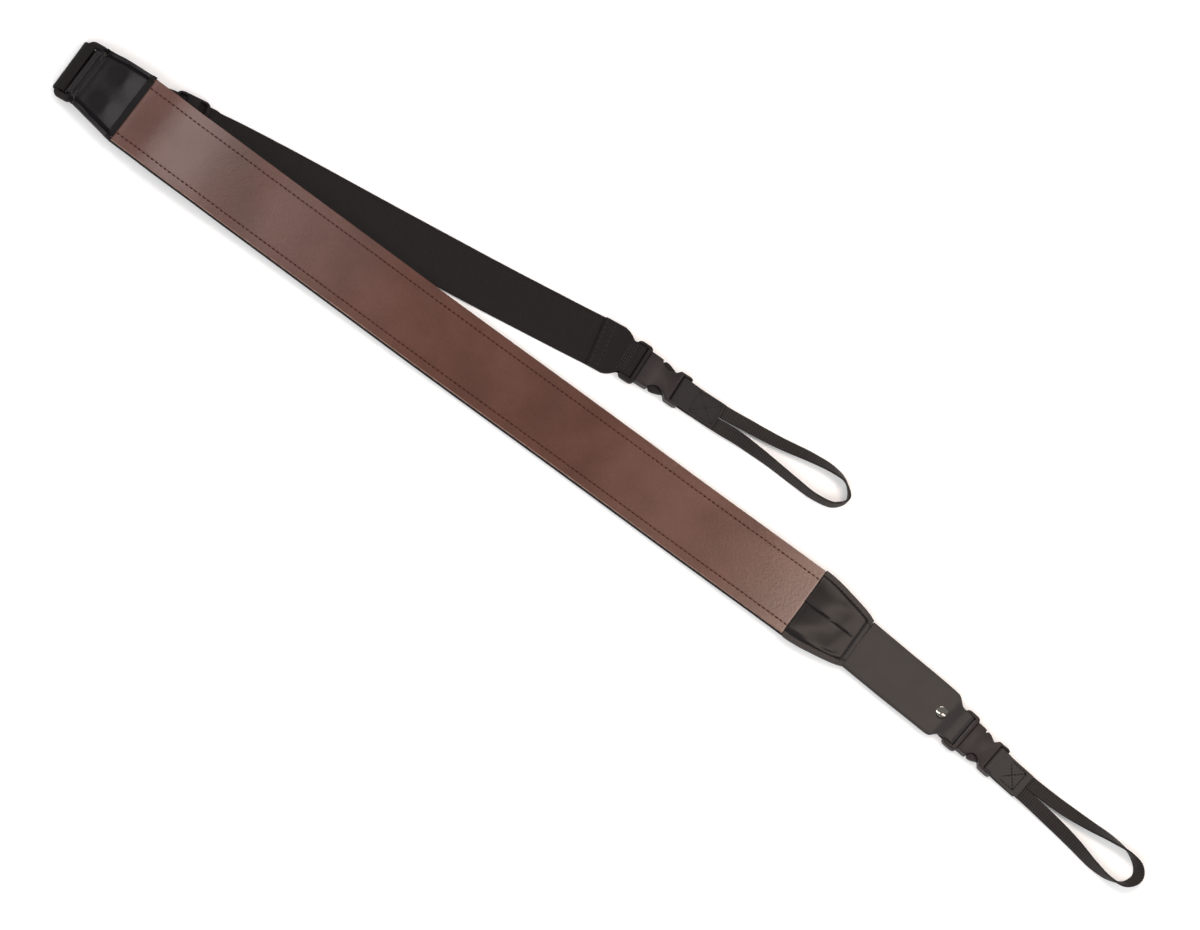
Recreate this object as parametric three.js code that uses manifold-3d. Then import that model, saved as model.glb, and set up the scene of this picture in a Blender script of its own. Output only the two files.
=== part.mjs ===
// Padded leather banjo strap, lying flat with its leather face up.
// Millimetres, +Z up. x runs along the pad from its slide end, y across it, z up from the surface.
import * as THREE from "three";
import { mergeVertices } from "three/addons/utils/BufferGeometryUtils.js";
import Module from "manifold-3d";

const wasm = await Module();
wasm.setup();

// Driving dimensions
const GAP = 0.3;
const PAD_LENGTH = 575.5;
const LEATHER_WIDTH = 55.4;
const LEATHER_THICK = 2;
const BACK_WIDTH = 56.6;
const BACK_THICK = 4;
const CAP_WALL = 1.5;
const WEBBING_WIDTH = 37.6;
const WEBBING_THICK = 1.4;
const LOOP_WIDTH = 10;
const LOOP_THICK = 1.5;
const LOOP_TAB_WIDTH = 20;
const LOOP_TAB_THICK = 1.4;
const TAB_WIDTH = 39.6;
const TAB_THICK = 2.2;
const NECK_WIDTH = 25.6;
const BUCKLE_MID = 4;
const BAR_HALF = 1.5;

// Sections: the places across a cushion, its rim, and how much of a strap's edge is rounded off
const RIM_PART = 0.94;
const ACROSS = [-1, -RIM_PART, -0.6, -0.3, 0, 0.3, 0.6, RIM_PART, 1];
const RIM_STEP = 0.3;
const RIM = { back: 2.6, leather: 1.1, cap: 2.4 };
const EDGE_SHARE = 0.3;

// Where the pad's sections lie, closer where it bends, and how far its backing runs into the caps
const PAD_STRETCHES = [
  { from: 0, to: 66, steps: 11 },
  { from: 80, to: 330, steps: 14 },
  { from: 390, to: 455, steps: 2 },
  { from: 470, to: PAD_LENGTH, steps: 8 },
];
const BACK_ENDS = { upper: [-22, -14], lower: [586, 595] };
const SLEEVE = 5;

// The box's middle, which becomes the part's origin
const BOX_MIDDLE = { x: 410.77, y: 33.26 };

// How high the pad's underside lies along its length: over the slide, then down to the surface,
// and up again onto the lower cap's bottom layer.
const PAD_LIFT = [
  { at: -24, value: 5.8 },
  { at: 2, value: 6.4 },
  { at: 24, value: 9 },
  { at: 42, value: 9 },
  { at: 120, value: 5.4 },
  { at: 243, value: 2.2 },
  { at: 318, value: 0 },
  { at: 455, value: 0 },
  { at: 572, value: CAP_WALL + GAP },
  { at: 600, value: CAP_WALL + GAP },
];

// How far the pad's middle line bows to the side along its length
const PAD_LINE = [
  { at: 0, value: 0.1 },
  { at: 44, value: -1.5 },
  { at: 76, value: -1.2 },
  { at: 124, value: -0.5 },
  { at: 190, value: -0.1 },
  { at: 244, value: 0.1 },
  { at: 320, value: 1.0 },
  { at: 400, value: 1.2 },
  { at: 480, value: 1.0 },
  { at: PAD_LENGTH, value: 0.7 },
];

// Half the width of the upper cap from its mouth to its tongue, and its lower and upper face
const RING_CAP = [
  { at: -0.6, half: 28.8, low: 3.9, high: 13.4 },
  { at: -7, half: 27.9, low: 3.9, high: 13.4 },
  { at: -16, half: 26.8, low: 3.9, high: 12.4 },
  { at: -24, half: 25.8, low: 4.1, high: 11.2 },
  { at: -29, half: 24.9, low: 4.4, high: 10.4 },
  { at: -33, half: 24.2, low: 4.4, high: 10.8 },
  { at: -34.9, half: 23, low: 4.2, high: 11.6 },
  { at: -35.8, half: 19.6, low: 4, high: 12.2 },
  { at: -38.6, half: 18.9, low: 3.9, high: 12.4 },
  { at: -42, half: 18.6, low: 4.2, high: 11.8 },
  { at: -43.6, half: 18.5, low: 5.4, high: 10.2 },
  { at: -44, half: 18.4, low: 6.8, high: 8.8 },
];

// The lower cap, a sleeve from the pad's end to the tab
const TAB_CAP = [
  { at: 576.2, half: 29, low: 0, high: 8.9 },
  { at: 580, half: 28.9, low: 0, high: 9 },
  { at: 589, half: 28, low: 0, high: 8.8 },
  { at: 598, half: 26.4, low: 0, high: 8 },
  { at: 607, half: 24.6, low: 0, high: 7.2 },
  { at: 616, half: 22.4, low: 0.2, high: 6.8 },
  { at: 621.5, half: 20.3, low: 0.6, high: 6.6 },
];

// The leather tab from its root in the lower cap to the neck that folds round the buckle's bar
const TAB = [
  { at: 600, half: 18.6, mid: 4.2 },
  { at: 622, half: TAB_WIDTH / 2, mid: 4 },
  { at: 650, half: 19.7, mid: 3.9 },
  { at: 690, half: 19.3, mid: 4.5 },
  { at: 697, half: 19, mid: 4.5 },
  { at: 699.5, half: 18, mid: 4.5 },
  { at: 702, half: 15.4, mid: 4.9 },
  { at: 704.5, half: 13.4, mid: 5.7 },
  { at: 707.5, half: NECK_WIDTH / 2, mid: 6.5 },
];
const TAB_LINE = [
  { at: 600, value: 1.6 },
  { at: 650, value: -1.5 },
  { at: 700, value: -4.8 },
  { at: 708, value: -5.81 },
  { at: 718, value: -6.77 },
];
// The return flap under the tab, from the fold to its end
const FLAP = [
  { at: 706.5, half: 12.6, mid: 1.25 },
  { at: 702, half: 12.4, mid: 1.75 },
  { at: 697, half: 12.4, mid: 2 },
  { at: 686, half: 12.2, mid: 2 },
];
const RIVET = { x: 696.2, head: 4.15, dome: 1.8, shank: 1.6, tail: 3.6, tailThick: 0.45 };

// Each buckle: the seam between its halves, its heading in degrees, where its loop's tab ends, and
// how much shorter its socket is than the longer of the two
const UPPER_BUCKLE = { x: 389.4, y: 71.3, heading: 3.2, tabEnd: 62.8, shorter: 0 };
const LOWER_BUCKLE = { x: 720.4, y: -7, heading: -5.5, tabEnd: 52.4, shorter: 5 };

// A buckle's halves in its own frame: x along it from the seam, y across, z from its bars
const LATCH = { bar: 8, reach: 12.6, root: 3.5, half: 15.6, inner: 13.2, thick: 6.2, corner: 3.2,
  bevel: 1.2 };
const PRONG = { guide: 15, guideHalf: 2.6, thick: 3.4, bevel: 0.4 };
const LATCH_ARM = [
  { x: -1, y: 5.2 },
  { x: 10, y: 5.8 },
  { x: 19.6, y: 7 },
  { x: 20.8, y: 8.6 },
  { x: 19.4, y: 10.4 },
  { x: 15, y: 12 },
  { x: 12, y: 12.5 },
  { x: 10.4, y: 11.4 },
  { x: 9.8, y: 8.4 },
  { x: -1, y: 8 },
];
const SOCKET = { thick: 8, bevel: 0.9, waist: 21.4, root: 26.6, bar: 30.2, mouth: 10.5, end: 33.8 };
const HOLLOW = { deep: 21.4, inner: 10.6, room: 2.2 };
const WINDOW = { x: 15.4, y: 14, radius: 6.8 };
const SOCKET_EDGE = [
  { x: 0.1, half: 12.4 },
  { x: 7, half: 12.3 },
  { x: 12, half: 11.6 },
  { x: 17, half: 10.2 },
  { x: SOCKET.waist, half: 8.9 },
  { x: 24, half: 12 },
  { x: 31.6, half: 12.2 },
  { x: SOCKET.end, half: 11.4 },
];

// The middle line of the long webbing, seen from above
const WEBBING_LINE = [
  { at: -56, value: 1.3 },
  { at: -40, value: 1.7 },
  { at: 0, value: 8.6 },
  { at: 34, value: 16.4 },
  { at: 70, value: 24.1 },
  { at: 200, value: 43.5 },
  { at: 270, value: 53.9 },
  { at: 330, value: 63.7 },
  { at: 362, value: 69 },
  { at: 381.4, value: 70.85 },
  { at: 392, value: 71.45 },
];
// Half the webbing's width towards its folded end
const WEBBING_HALF = [
  { at: 340, value: WEBBING_WIDTH / 2 },
  { at: 365, value: 18.8 },
  { at: 370, value: 17 },
  { at: 373.4, value: 14.2 },
  { at: 375, value: 12.7 },
];
const WEBBING_CUT = { x: 352, slant: 3 };

// The ring's two bars, and the slide's three, which tilts down away from the ring
const RING = { far: -49.65, near: -38.6, farZ: 4.25, nearZ: 8, y: 1.4, half: 24.6, side: 4.6, thick: 3.4 };
const RING_BAR = { far: 4, near: 6 };
const RING_EDGE = { corner: 5, bevel: 0.8 };
const SLOT_CORNER = 1;
const RING_WRAP = 3.55;
const SLIDE = { x: 34, z: 3.75, tilt: 4.1, half: 21.5, side: 2.1, pitch: 11.8, bar: 2.8, thick: 2.4 };
const SLIDE_EDGE = { corner: 5, bevel: 0.5 };
const SLIDE_WRAP = 2.55;
const FLOOR_LAYER = WEBBING_THICK / 2;
const LAYER_STEP = WEBBING_THICK + GAP;
const SECOND_LAYER = FLOOR_LAYER + LAYER_STEP;
const DIVE = 1.6;
// The webbing's height into the slide, out of it, and back from the buckle's bar
const UNDER_SLIDE = [
  { x: 28, z: 0.9 },
  { x: 22, z: FLOOR_LAYER },
];
const INTO_SLIDE = [
  { x: 24, z: SECOND_LAYER },
  { x: 27.4, z: 2.7 },
  { x: 29.3, z: 3.5 },
];
const OUT_OF_SLIDE = [
  { x: 38.7, z: 3.2 },
  { x: 40.2, z: 1.8 },
  { x: 42.6, z: 0.85 },
  { x: 45, z: FLOOR_LAYER },
];
const FROM_BUCKLE = [
  { x: 377, z: 6.1 },
  { x: 372, z: 4.6 },
  { x: 368, z: 3.1 },
  { x: 362, z: SECOND_LAYER },
];
const TO_RING = { from: 10, to: -38 };
const FROM_RING = { from: -36, to: 14 };
const LONG_RUN = { from: 56, to: 340, fold: 350, end: 368 };
const INTO_BUCKLE = { x: 375, z: 1.2 };

// A webbing loop: where its middle line goes, and how far its upper face is rolled outwards
const UPPER_LOOP = [
  { x: 434, y: 79, roll: 0 },
  { x: 455, y: 80.5, roll: 0 },
  { x: 472, y: 83, roll: 8 },
  { x: 497, y: 86.7, roll: 18 },
  { x: 521, y: 91.5, roll: 32 },
  { x: 538, y: 93.3, roll: 47 },
  { x: 549.4, y: 91.2, roll: 68 },
  { x: 558, y: 81.7, roll: 90 },
  { x: 552.2, y: 72.4, roll: 88 },
  { x: 538, y: 68.7, roll: 84 },
  { x: 521, y: 68.9, roll: 77 },
  { x: 497, y: 70.1, roll: 64 },
  { x: 472, y: 70.5, roll: 30 },
  { x: 460, y: 69.7, roll: 3 },
  { x: 452, y: 69.2, roll: 0 },
  { x: 434, y: 68.6, roll: 0 },
];
const LOWER_LOOP = [
  { x: 763, y: -5.8, roll: 0 },
  { x: 780, y: -6.7, roll: 0 },
  { x: 804, y: -7, roll: 10 },
  { x: 823, y: -6.4, roll: 30 },
  { x: 843, y: -5.1, roll: 52 },
  { x: 858, y: -5.9, roll: 78 },
  { x: 869, y: -11.2, roll: 118 },
  { x: 872, y: -17.4, roll: 136 },
  { x: 867.6, y: -26.2, roll: 122 },
  { x: 857, y: -29.6, roll: 98 },
  { x: 843, y: -28.9, roll: 70 },
  { x: 823, y: -24.2, roll: 42 },
  { x: 804, y: -20.4, roll: 20 },
  { x: 780, y: -17.9, roll: 0 },
  { x: 763, y: -16.2, roll: 0 },
];
// How a loop's tab leaves the socket's bar: distances from the bar, and height over its layers
const LOOP_TAB_TOP = [
  { past: 12, over: 0 },
  { past: 6, over: 0.8 },
];
const LOOP_TAB_BOTTOM = [
  { past: 5, over: 0.4 },
  { past: 9, over: 0 },
];
const LOOP_TAB_STEP = 2;
const LOOP_STEPS = 60;
const LOOP_FALL = 34;
const ROLL_SHARE = 0.3;

// Finishes
const FINISH = {
  leather: { color: 0x6b4a41, roughness: 0.42, metalness: 0 },
  blackLeather: { color: 0x2c2a2b, roughness: 0.45, metalness: 0 },
  foam: { color: 0x1b1a1a, roughness: 0.9, metalness: 0 },
  webbing: { color: 0x242222, roughness: 0.85, metalness: 0 },
  plastic: { color: 0x2b2929, roughness: 0.5, metalness: 0 },
  nickel: { color: 0xc9c6c2, roughness: 0.22, metalness: 1 },
};

const strap = new THREE.Group();
strap.position.set(-BOX_MIDDLE.x, -BOX_MIDDLE.y, 0);

// A smooth rise and fall through a table's rows that never overshoots them
function through(rows, key = "value") {
  const slopes = rows.map((row, i) => {
    const rise = (a, b) => (b[key] - a[key]) / (b.at - a.at);
    if (i === 0) return rise(row, rows[1]);
    if (i === rows.length - 1) return rise(rows[i - 1], row);
    const before = rise(rows[i - 1], row);
    const after = rise(row, rows[i + 1]);
    return before * after > 0 ? (2 * before * after) / (before + after) : 0;
  });
  return (x) => {
    const last = rows.length - 1;
    if (x <= rows[0].at) return rows[0][key];
    if (x >= rows[last].at) return rows[last][key];
    const i = rows.findIndex((row) => row.at > x) - 1;
    const span = rows[i + 1].at - rows[i].at;
    const t = (x - rows[i].at) / span;
    const rest = 1 - t;
    const ends = rows[i][key] * (1 + 2 * t) * rest * rest + rows[i + 1][key] * (3 - 2 * t) * t * t;
    return ends + span * (slopes[i] * t * rest * rest - slopes[i + 1] * t * t * rest);
  };
}

// Evenly spaced values from one end to the other, both included
function spread(from, to, count) {
  return Array.from({ length: count + 1 }, (_, i) => from + ((to - from) * i) / count);
}

// A closed solid through a row of sections, each a ring of as many points
function loft(sections) {
  const count = sections[0].length;
  const points = sections.flat();
  const faces = [];
  for (let s = 0; s + 1 < sections.length; s++) {
    for (let k = 0; k < count; k++) {
      const a = s * count + k;
      const b = s * count + ((k + 1) % count);
      faces.push(a, b, b + count, a, b + count, a + count);
    }
  }
  for (const [section, turn] of [[sections[0], -1], [sections.at(-1), 1]]) {
    const first = points.indexOf(section[0]);
    const middle = new THREE.Vector3();
    section.forEach((point) => middle.addScaledVector(point, 1 / count));
    points.push(middle);
    for (let k = 0; k < count; k++) {
      const a = first + k;
      const b = first + ((k + 1) % count);
      faces.push(points.length - 1, turn > 0 ? a : b, turn > 0 ? b : a);
    }
  }
  return faceOut(new THREE.BufferGeometry().setFromPoints(points).setIndex(faces));
}

// Turns a closed geometry's faces outwards
function faceOut(geometry) {
  const spot = geometry.getAttribute("position");
  const faces = Array.from(geometry.index.array);
  const corner = (i) => new THREE.Vector3().fromBufferAttribute(spot, i);
  let volume = 0;
  for (let i = 0; i < faces.length; i += 3) {
    volume += corner(faces[i]).dot(corner(faces[i + 1]).cross(corner(faces[i + 2])));
  }
  return volume < 0 ? geometry.setIndex(faces.reverse()) : geometry;
}

// A flat strap along stations of place, half width and sideways direction, with softened edges
function band(stations, thick) {
  const sections = stations.map(({ place, side, half }, i) => {
    const next = stations[Math.min(i + 1, stations.length - 1)].place;
    const last = stations[Math.max(i - 1, 0)].place;
    const up = next.clone().sub(last).cross(side).normalize();
    const edge = half - thick * EDGE_SHARE;
    const rim = [[-half, 0], [-edge, -0.5], [edge, -0.5], [half, 0], [edge, 0.5], [-edge, 0.5]];
    const corner = ([across, high]) =>
      place.clone().addScaledVector(side, across).addScaledVector(up, high * thick);
    return rim.map(corner);
  });
  return loft(sections);
}

// Points of an arc in the upright plane along a strap
function arc(x, z, radius, from, to, steps) {
  return spread(from, to, steps).map((degrees) => {
    const turn = THREE.MathUtils.degToRad(degrees);
    return { x: x + radius * Math.cos(turn), z: z + radius * Math.sin(turn) };
  });
}

// Stations of a strap that folds up and down over one line drawn on the surface
function folded(path, line, halfAt) {
  return path.map(({ x, z, half = halfAt(x), slant = 0 }) => {
    const lean = THREE.MathUtils.degToRad(slant);
    const turn = headingOf(line, x) + lean;
    const side = new THREE.Vector3(-Math.sin(turn), Math.cos(turn), 0);
    return { place: new THREE.Vector3(x, line(x), z), side, half: half / Math.cos(lean) };
  });
}
const headingOf = (line, x) => Math.atan2(line(x + 0.5) - line(x - 0.5), 1);

// A body with a soft rim: each row gives its half width, lower face and upper face
function cushion(rows, middle, rim, grow = 0) {
  return loft(rows.map(({ at, half, low, high }) => {
    const full = (high - low) / 2 + grow;
    const edge = rim / 2 + grow;
    const tall = (part) => Math.min(full, { 1: edge, [RIM_PART]: edge + RIM_STEP }[Math.abs(part)] ?? full);
    const point = (part, way) =>
      new THREE.Vector3(at, middle(at) + part * (half + grow), (low + high) / 2 + way * tall(part));
    const upper = ACROSS.map((part) => point(part, 1));
    const lower = ACROSS.map((part) => point(part, -1));
    return [...upper, ...lower.reverse()];
  }));
}

// A moulded plate of an outline drawn in x and y, centred on z = 0
function moulded(outline, holes, thick, bevel) {
  const shape = new THREE.Shape(outline.map(([x, y]) => new THREE.Vector2(x, y)));
  shape.holes = holes.map((hole) => new THREE.Path(hole.map(([x, y]) => new THREE.Vector2(x, y))));
  const rim = { bevelThickness: bevel, bevelSize: bevel, bevelOffset: -bevel, bevelSegments: 2 };
  const plate = new THREE.ExtrudeGeometry(shape, { depth: thick - 2 * bevel, ...rim });
  return plate.translate(0, 0, bevel - thick / 2);
}

// Points of a rectangle with round corners
function rounded(x0, x1, y0, y1, radius, steps = 4) {
  const corners = [[x1 - radius, y1 - radius, 0], [x0 + radius, y1 - radius, 90]];
  corners.push([x0 + radius, y0 + radius, 180], [x1 - radius, y0 + radius, 270]);
  return corners.flatMap(([x, y, from]) =>
    arc(x, y, radius, from, from + 90, steps).map((point) => [point.x, point.z]));
}

// A geometry as a solid that can be joined and cut, and back
function solid(geometry) {
  const bare = new THREE.BufferGeometry();
  bare.setAttribute("position", geometry.getAttribute("position"));
  bare.setIndex(geometry.index);
  const merged = mergeVertices(bare, 1e-4);
  const vertProperties = new Float32Array(merged.getAttribute("position").array);
  const triVerts = new Uint32Array(merged.index.array);
  return new wasm.Manifold(new wasm.Mesh({ numProp: 3, vertProperties, triVerts }));
}
function geometryOf(body) {
  const { vertProperties, triVerts } = body.getMesh();
  const geometry = new THREE.BufferGeometry();
  geometry.setAttribute("position", new THREE.BufferAttribute(vertProperties, 3));
  return geometry.setIndex(new THREE.BufferAttribute(triVerts, 1));
}
const cut = (geometry, ...tools) =>
  geometryOf(tools.reduce((body, tool) => body.subtract(solid(tool)), solid(geometry)));
const join = (geometry, ...others) =>
  geometryOf(others.reduce((body, other) => body.add(solid(other)), solid(geometry)));
// A block between two x, as wide and as tall each way from the middle
const block = (x0, x1, half, tall) =>
  new THREE.BoxGeometry(x1 - x0, 2 * half, 2 * tall).translate((x0 + x1) / 2, 0, 0);

function piece(name, geometry, finish, parent = strap) {
  geometry.computeVertexNormals();
  const mesh = new THREE.Mesh(geometry, new THREE.MeshStandardMaterial(finish));
  mesh.name = name;
  parent.add(mesh);
  return mesh;
}

// Shoulder pad: a padded backing that runs into both caps, and the leather on top of it
const lift = through(PAD_LIFT);
const padLine = through(PAD_LINE);
const straight = () => 0;
const ringCapRows = [...RING_CAP].reverse();
const ringCapHalf = through(ringCapRows, "half");
const tabCapHalf = through(TAB_CAP, "half");

function backHalf(x) {
  if (x < 0) return ringCapHalf(x) - SLEEVE;
  return x > PAD_LENGTH ? tabCapHalf(x) - SLEEVE : BACK_WIDTH / 2;
}
const padStops = PAD_STRETCHES.flatMap(({ from, to, steps }) => spread(from, to, steps));
const backStops = [...BACK_ENDS.upper, -GAP, ...padStops, PAD_LENGTH + GAP, ...BACK_ENDS.lower];
const backRows = backStops.map((at) => {
  const low = lift(at);
  return { at, half: backHalf(at), low, high: low + BACK_THICK };
});
piece("pad_back", cushion(backRows, padLine, RIM.back), FINISH.foam);

const faceRows = padStops.map((at) => {
  const low = lift(at) + BACK_THICK + GAP;
  return { at, half: LEATHER_WIDTH / 2, low, high: low + LEATHER_THICK };
});
piece("pad_face", cushion(faceRows, padLine, RIM.leather), FINISH.leather);

// Ring, with room round it for the leather that folds over its near bar
function ringPlate(grow) {
  const apart = Math.hypot(RING.near - RING.far, RING.nearZ - RING.farZ);
  const far = -apart / 2 - RING_BAR.far / 2 - grow;
  const near = apart / 2 + RING_BAR.near / 2 + grow;
  const half = RING.half + grow;
  const clear = half - RING.side - 2 * grow;
  const [left, right] = [far + RING_BAR.far + 2 * grow, near - RING_BAR.near - 2 * grow];
  const hole = rounded(left, right, -clear, clear, SLOT_CORNER);
  const outer = rounded(far, near, -half, half, RING_EDGE.corner);
  const plate = moulded(outer, [hole], RING.thick + 2 * grow, RING_EDGE.bevel);
  plate.rotateY(-Math.atan2(RING.nearZ - RING.farZ, RING.near - RING.far));
  return plate.translate((RING.near + RING.far) / 2, RING.y, (RING.nearZ + RING.farZ) / 2);
}
piece("ring", ringPlate(0), FINISH.plastic);

// Upper cap: a sleeve over the pad's end, sewn flat, then folded round the ring's near bar
const capMiddle = through([{ at: -40, value: RING.y }, { at: -30, value: RING.y }, { at: 0, value: 0 }]);
const upperEnd = backRows.filter((row) => row.at < 10);
const roomForPad = cushion(upperEnd, padLine, RIM.back, GAP).translate(-GAP, 0, 0);
const ringCap = cut(cushion(RING_CAP, capMiddle, RIM.cap), roomForPad, ringPlate(GAP));
piece("ring_cap", ringCap, FINISH.blackLeather);

// Long webbing: looped on the slide's middle bar, round the ring's far bar, back through the slide,
// along the surface, and folded round the upper buckle's bar
const webbingLine = through(WEBBING_LINE);
const upperBar = barOf(UPPER_BUCKLE, -LATCH.bar);
const level = (from, to, steps, z) => spread(from, to, steps).map((x) => ({ x, z }));
const webbingPath = [
  ...arc(SLIDE.x, SLIDE.z, SLIDE_WRAP, 165, -90, 14),
  ...UNDER_SLIDE,
  ...level(TO_RING.from, TO_RING.to, 4, FLOOR_LAYER),
  ...arc(RING.far, RING.farZ, RING_WRAP, -90, -360, 16),
  ...arc(RING.far + RING_WRAP + DIVE, SECOND_LAYER + DIVE, DIVE, 190, 270, 5),
  ...level(FROM_RING.from, FROM_RING.to, 5, SECOND_LAYER),
  ...INTO_SLIDE,
  ...arc(SLIDE.x, SLIDE.z, SLIDE_WRAP + LAYER_STEP, 165, 15, 10),
  ...OUT_OF_SLIDE,
  ...level(LONG_RUN.from, LONG_RUN.to, 14, FLOOR_LAYER),
  ...level(LONG_RUN.fold, LONG_RUN.end, 4, FLOOR_LAYER),
  INTO_BUCKLE,
  ...arc(upperBar.x, BUCKLE_MID, BAR_HALF + GAP + WEBBING_THICK / 2, -90, 90, 10),
  ...FROM_BUCKLE,
  { x: WEBBING_CUT.x, z: SECOND_LAYER, slant: WEBBING_CUT.slant },
];
const webbing = folded(webbingPath, webbingLine, through(WEBBING_HALF));
piece("webbing", band(webbing, WEBBING_THICK), FINISH.webbing);

// Where a buckle's bar lies on the surface
function barOf({ x, y, heading }, along) {
  const turn = THREE.MathUtils.degToRad(heading);
  return { x: x + along * Math.cos(turn), y: y + along * Math.sin(turn) };
}

// Slide with two outer bars and a middle one
function slidePlate() {
  const reach = SLIDE.pitch + SLIDE.bar / 2;
  const inner = SLIDE.half - SLIDE.side;
  const slots = [-1, 1].map((way) => {
    const ends = [way * (SLIDE.bar / 2), way * (SLIDE.pitch - SLIDE.bar / 2)].sort((a, b) => a - b);
    return rounded(ends[0], ends[1], -inner, inner, SLOT_CORNER);
  });
  const outer = rounded(-reach, reach, -SLIDE.half, SLIDE.half, SLIDE_EDGE.corner);
  return moulded(outer, slots, SLIDE.thick, SLIDE_EDGE.bevel);
}
const slide = new THREE.Group();
slide.position.set(SLIDE.x, webbingLine(SLIDE.x), SLIDE.z);
slide.rotation.set(0, THREE.MathUtils.degToRad(SLIDE.tilt), headingOf(webbingLine, SLIDE.x), "ZYX");
strap.add(slide);
piece("tri_glide", slidePlate(), FINISH.plastic, slide);

// Leather tab: a root inside the lower cap, a neck round the buckle's bar, and a flap back under the rivet
const tabLine = through(TAB_LINE);
const lowerBar = barOf(LOWER_BUCKLE, -LATCH.bar);
function tabBand(grow) {
  const sheet = ({ at, half, mid }) => ({ x: at, z: mid, half: half + grow });
  const fold = arc(lowerBar.x, BUCKLE_MID, BAR_HALF + GAP + TAB_THICK / 2, 90, -90, 12);
  const neck = fold.map((point) => ({ ...point, half: NECK_WIDTH / 2 + grow }));
  return band(folded([...TAB.map(sheet), ...neck, ...FLAP.map(sheet)], tabLine), TAB_THICK + 2 * grow);
}
const holeRadius = RIVET.shank + GAP;
const rivetHole = new THREE.CylinderGeometry(holeRadius, holeRadius, 12, 16).rotateX(Math.PI / 2);
rivetHole.translate(RIVET.x, tabLine(RIVET.x), BUCKLE_MID);
piece("tab", cut(tabBand(0), rivetHole), FINISH.blackLeather);

// Rivet: a domed head above the tab, a flat tail under the flap
const headSeat = through(TAB, "mid")(RIVET.x) + TAB_THICK / 2 + GAP;
const tailSeat = FLAP.at(-1).mid - TAB_THICK / 2 - GAP;
const rivetProfile = [
  [0, tailSeat - RIVET.tailThick],
  [RIVET.tail, tailSeat - RIVET.tailThick],
  [RIVET.tail, tailSeat],
  [RIVET.shank, tailSeat],
  [RIVET.shank, headSeat],
  ...spread(0, 90, 6).map((degrees) => {
    const turn = THREE.MathUtils.degToRad(degrees);
    return [degrees === 90 ? 0 : RIVET.head * Math.cos(turn), headSeat + RIVET.dome * Math.sin(turn)];
  }),
];
const rivet = new THREE.LatheGeometry(rivetProfile.map(([x, y]) => new THREE.Vector2(x, y)), 20);
rivet.rotateX(Math.PI / 2).translate(RIVET.x, tabLine(RIVET.x), 0);
piece("rivet", rivet, FINISH.nickel);

// Lower cap: a sleeve over the pad's other end that holds the tab's root
const tabCapMiddle = through([
  { at: 576, value: 0 },
  { at: 590, value: 0 },
  { at: 622, value: tabLine(622) },
]);
const lowerEnd = backRows.filter((row) => row.at > 560);
const roomForPadEnd = cushion(lowerEnd, padLine, RIM.back, GAP).translate(GAP, 0, 0);
const roomForTab = tabBand(GAP).translate(-GAP, 0, 0);
const tabCap = cut(cushion(TAB_CAP, tabCapMiddle, RIM.cap), roomForPadEnd, roomForTab);
piece("tab_cap", tabCap, FINISH.blackLeather);

// A bar of a buckle, lying across it
const crossBar = (x, half) => new THREE.CylinderGeometry(BAR_HALF, BAR_HALF, 2 * half, 12).translate(x, 0, 0);
const bothSides = (outline) => [outline, outline.map(([x, y]) => [x, -y]).reverse()];

// A shorter buckle is drawn in between its seam and its waist
const drawnIn = (x, { shorter }) => x - shorter * THREE.MathUtils.clamp(x / SOCKET.waist, 0, 1);

// Pronged half: a frame that is open round its bar, a guide and two sprung arms
function latchBody(buckle) {
  const outer = rounded(-LATCH.reach, -GAP, -LATCH.half, LATCH.half, LATCH.corner);
  const frame = moulded(outer, [], LATCH.thick, LATCH.bevel);
  const mouth = block(-LATCH.reach - 1, -LATCH.root, LATCH.inner, LATCH.thick);
  const outlines = bothSides(LATCH_ARM.map(({ x, y }) => [drawnIn(x, buckle), y]));
  const arms = outlines.map((arm) => moulded(arm, [], PRONG.thick, PRONG.bevel));
  const guide = block(-1, drawnIn(PRONG.guide, buckle), PRONG.guideHalf, PRONG.thick / 2);
  return join(cut(frame, mouth), crossBar(-LATCH.bar, LATCH.inner + 1), guide, ...arms);
}

// Receiving half: a waisted shell with a window at each side, and a bar for the loop's tab
function socketBody(buckle) {
  const upper = SOCKET_EDGE.map(({ x, half }) => [drawnIn(x, buckle), half]);
  const lower = upper.map(([x, half]) => [x, -half]).reverse();
  const shell = moulded([...lower, ...upper].reverse(), [], SOCKET.thick, SOCKET.bevel);
  const hollow = block(-1, drawnIn(HOLLOW.deep, buckle), HOLLOW.inner, HOLLOW.room);
  const squeeze = 1 - buckle.shorter / SOCKET.waist;
  const windows = [-1, 1].map((way) => {
    const hole = new THREE.CylinderGeometry(WINDOW.radius, WINDOW.radius, SOCKET.thick + 2, 24);
    hole.rotateX(Math.PI / 2).translate(WINDOW.x, way * WINDOW.y, 0);
    return hole.scale(squeeze, 1, 1);
  });
  const [root, bar, end] = [SOCKET.root, SOCKET.bar, SOCKET.end].map((x) => drawnIn(x, buckle));
  const mouth = block(root, end + 2, SOCKET.mouth, SOCKET.thick);
  return join(cut(shell, hollow, mouth, ...windows), crossBar(bar, SOCKET.mouth + 1));
}

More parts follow.
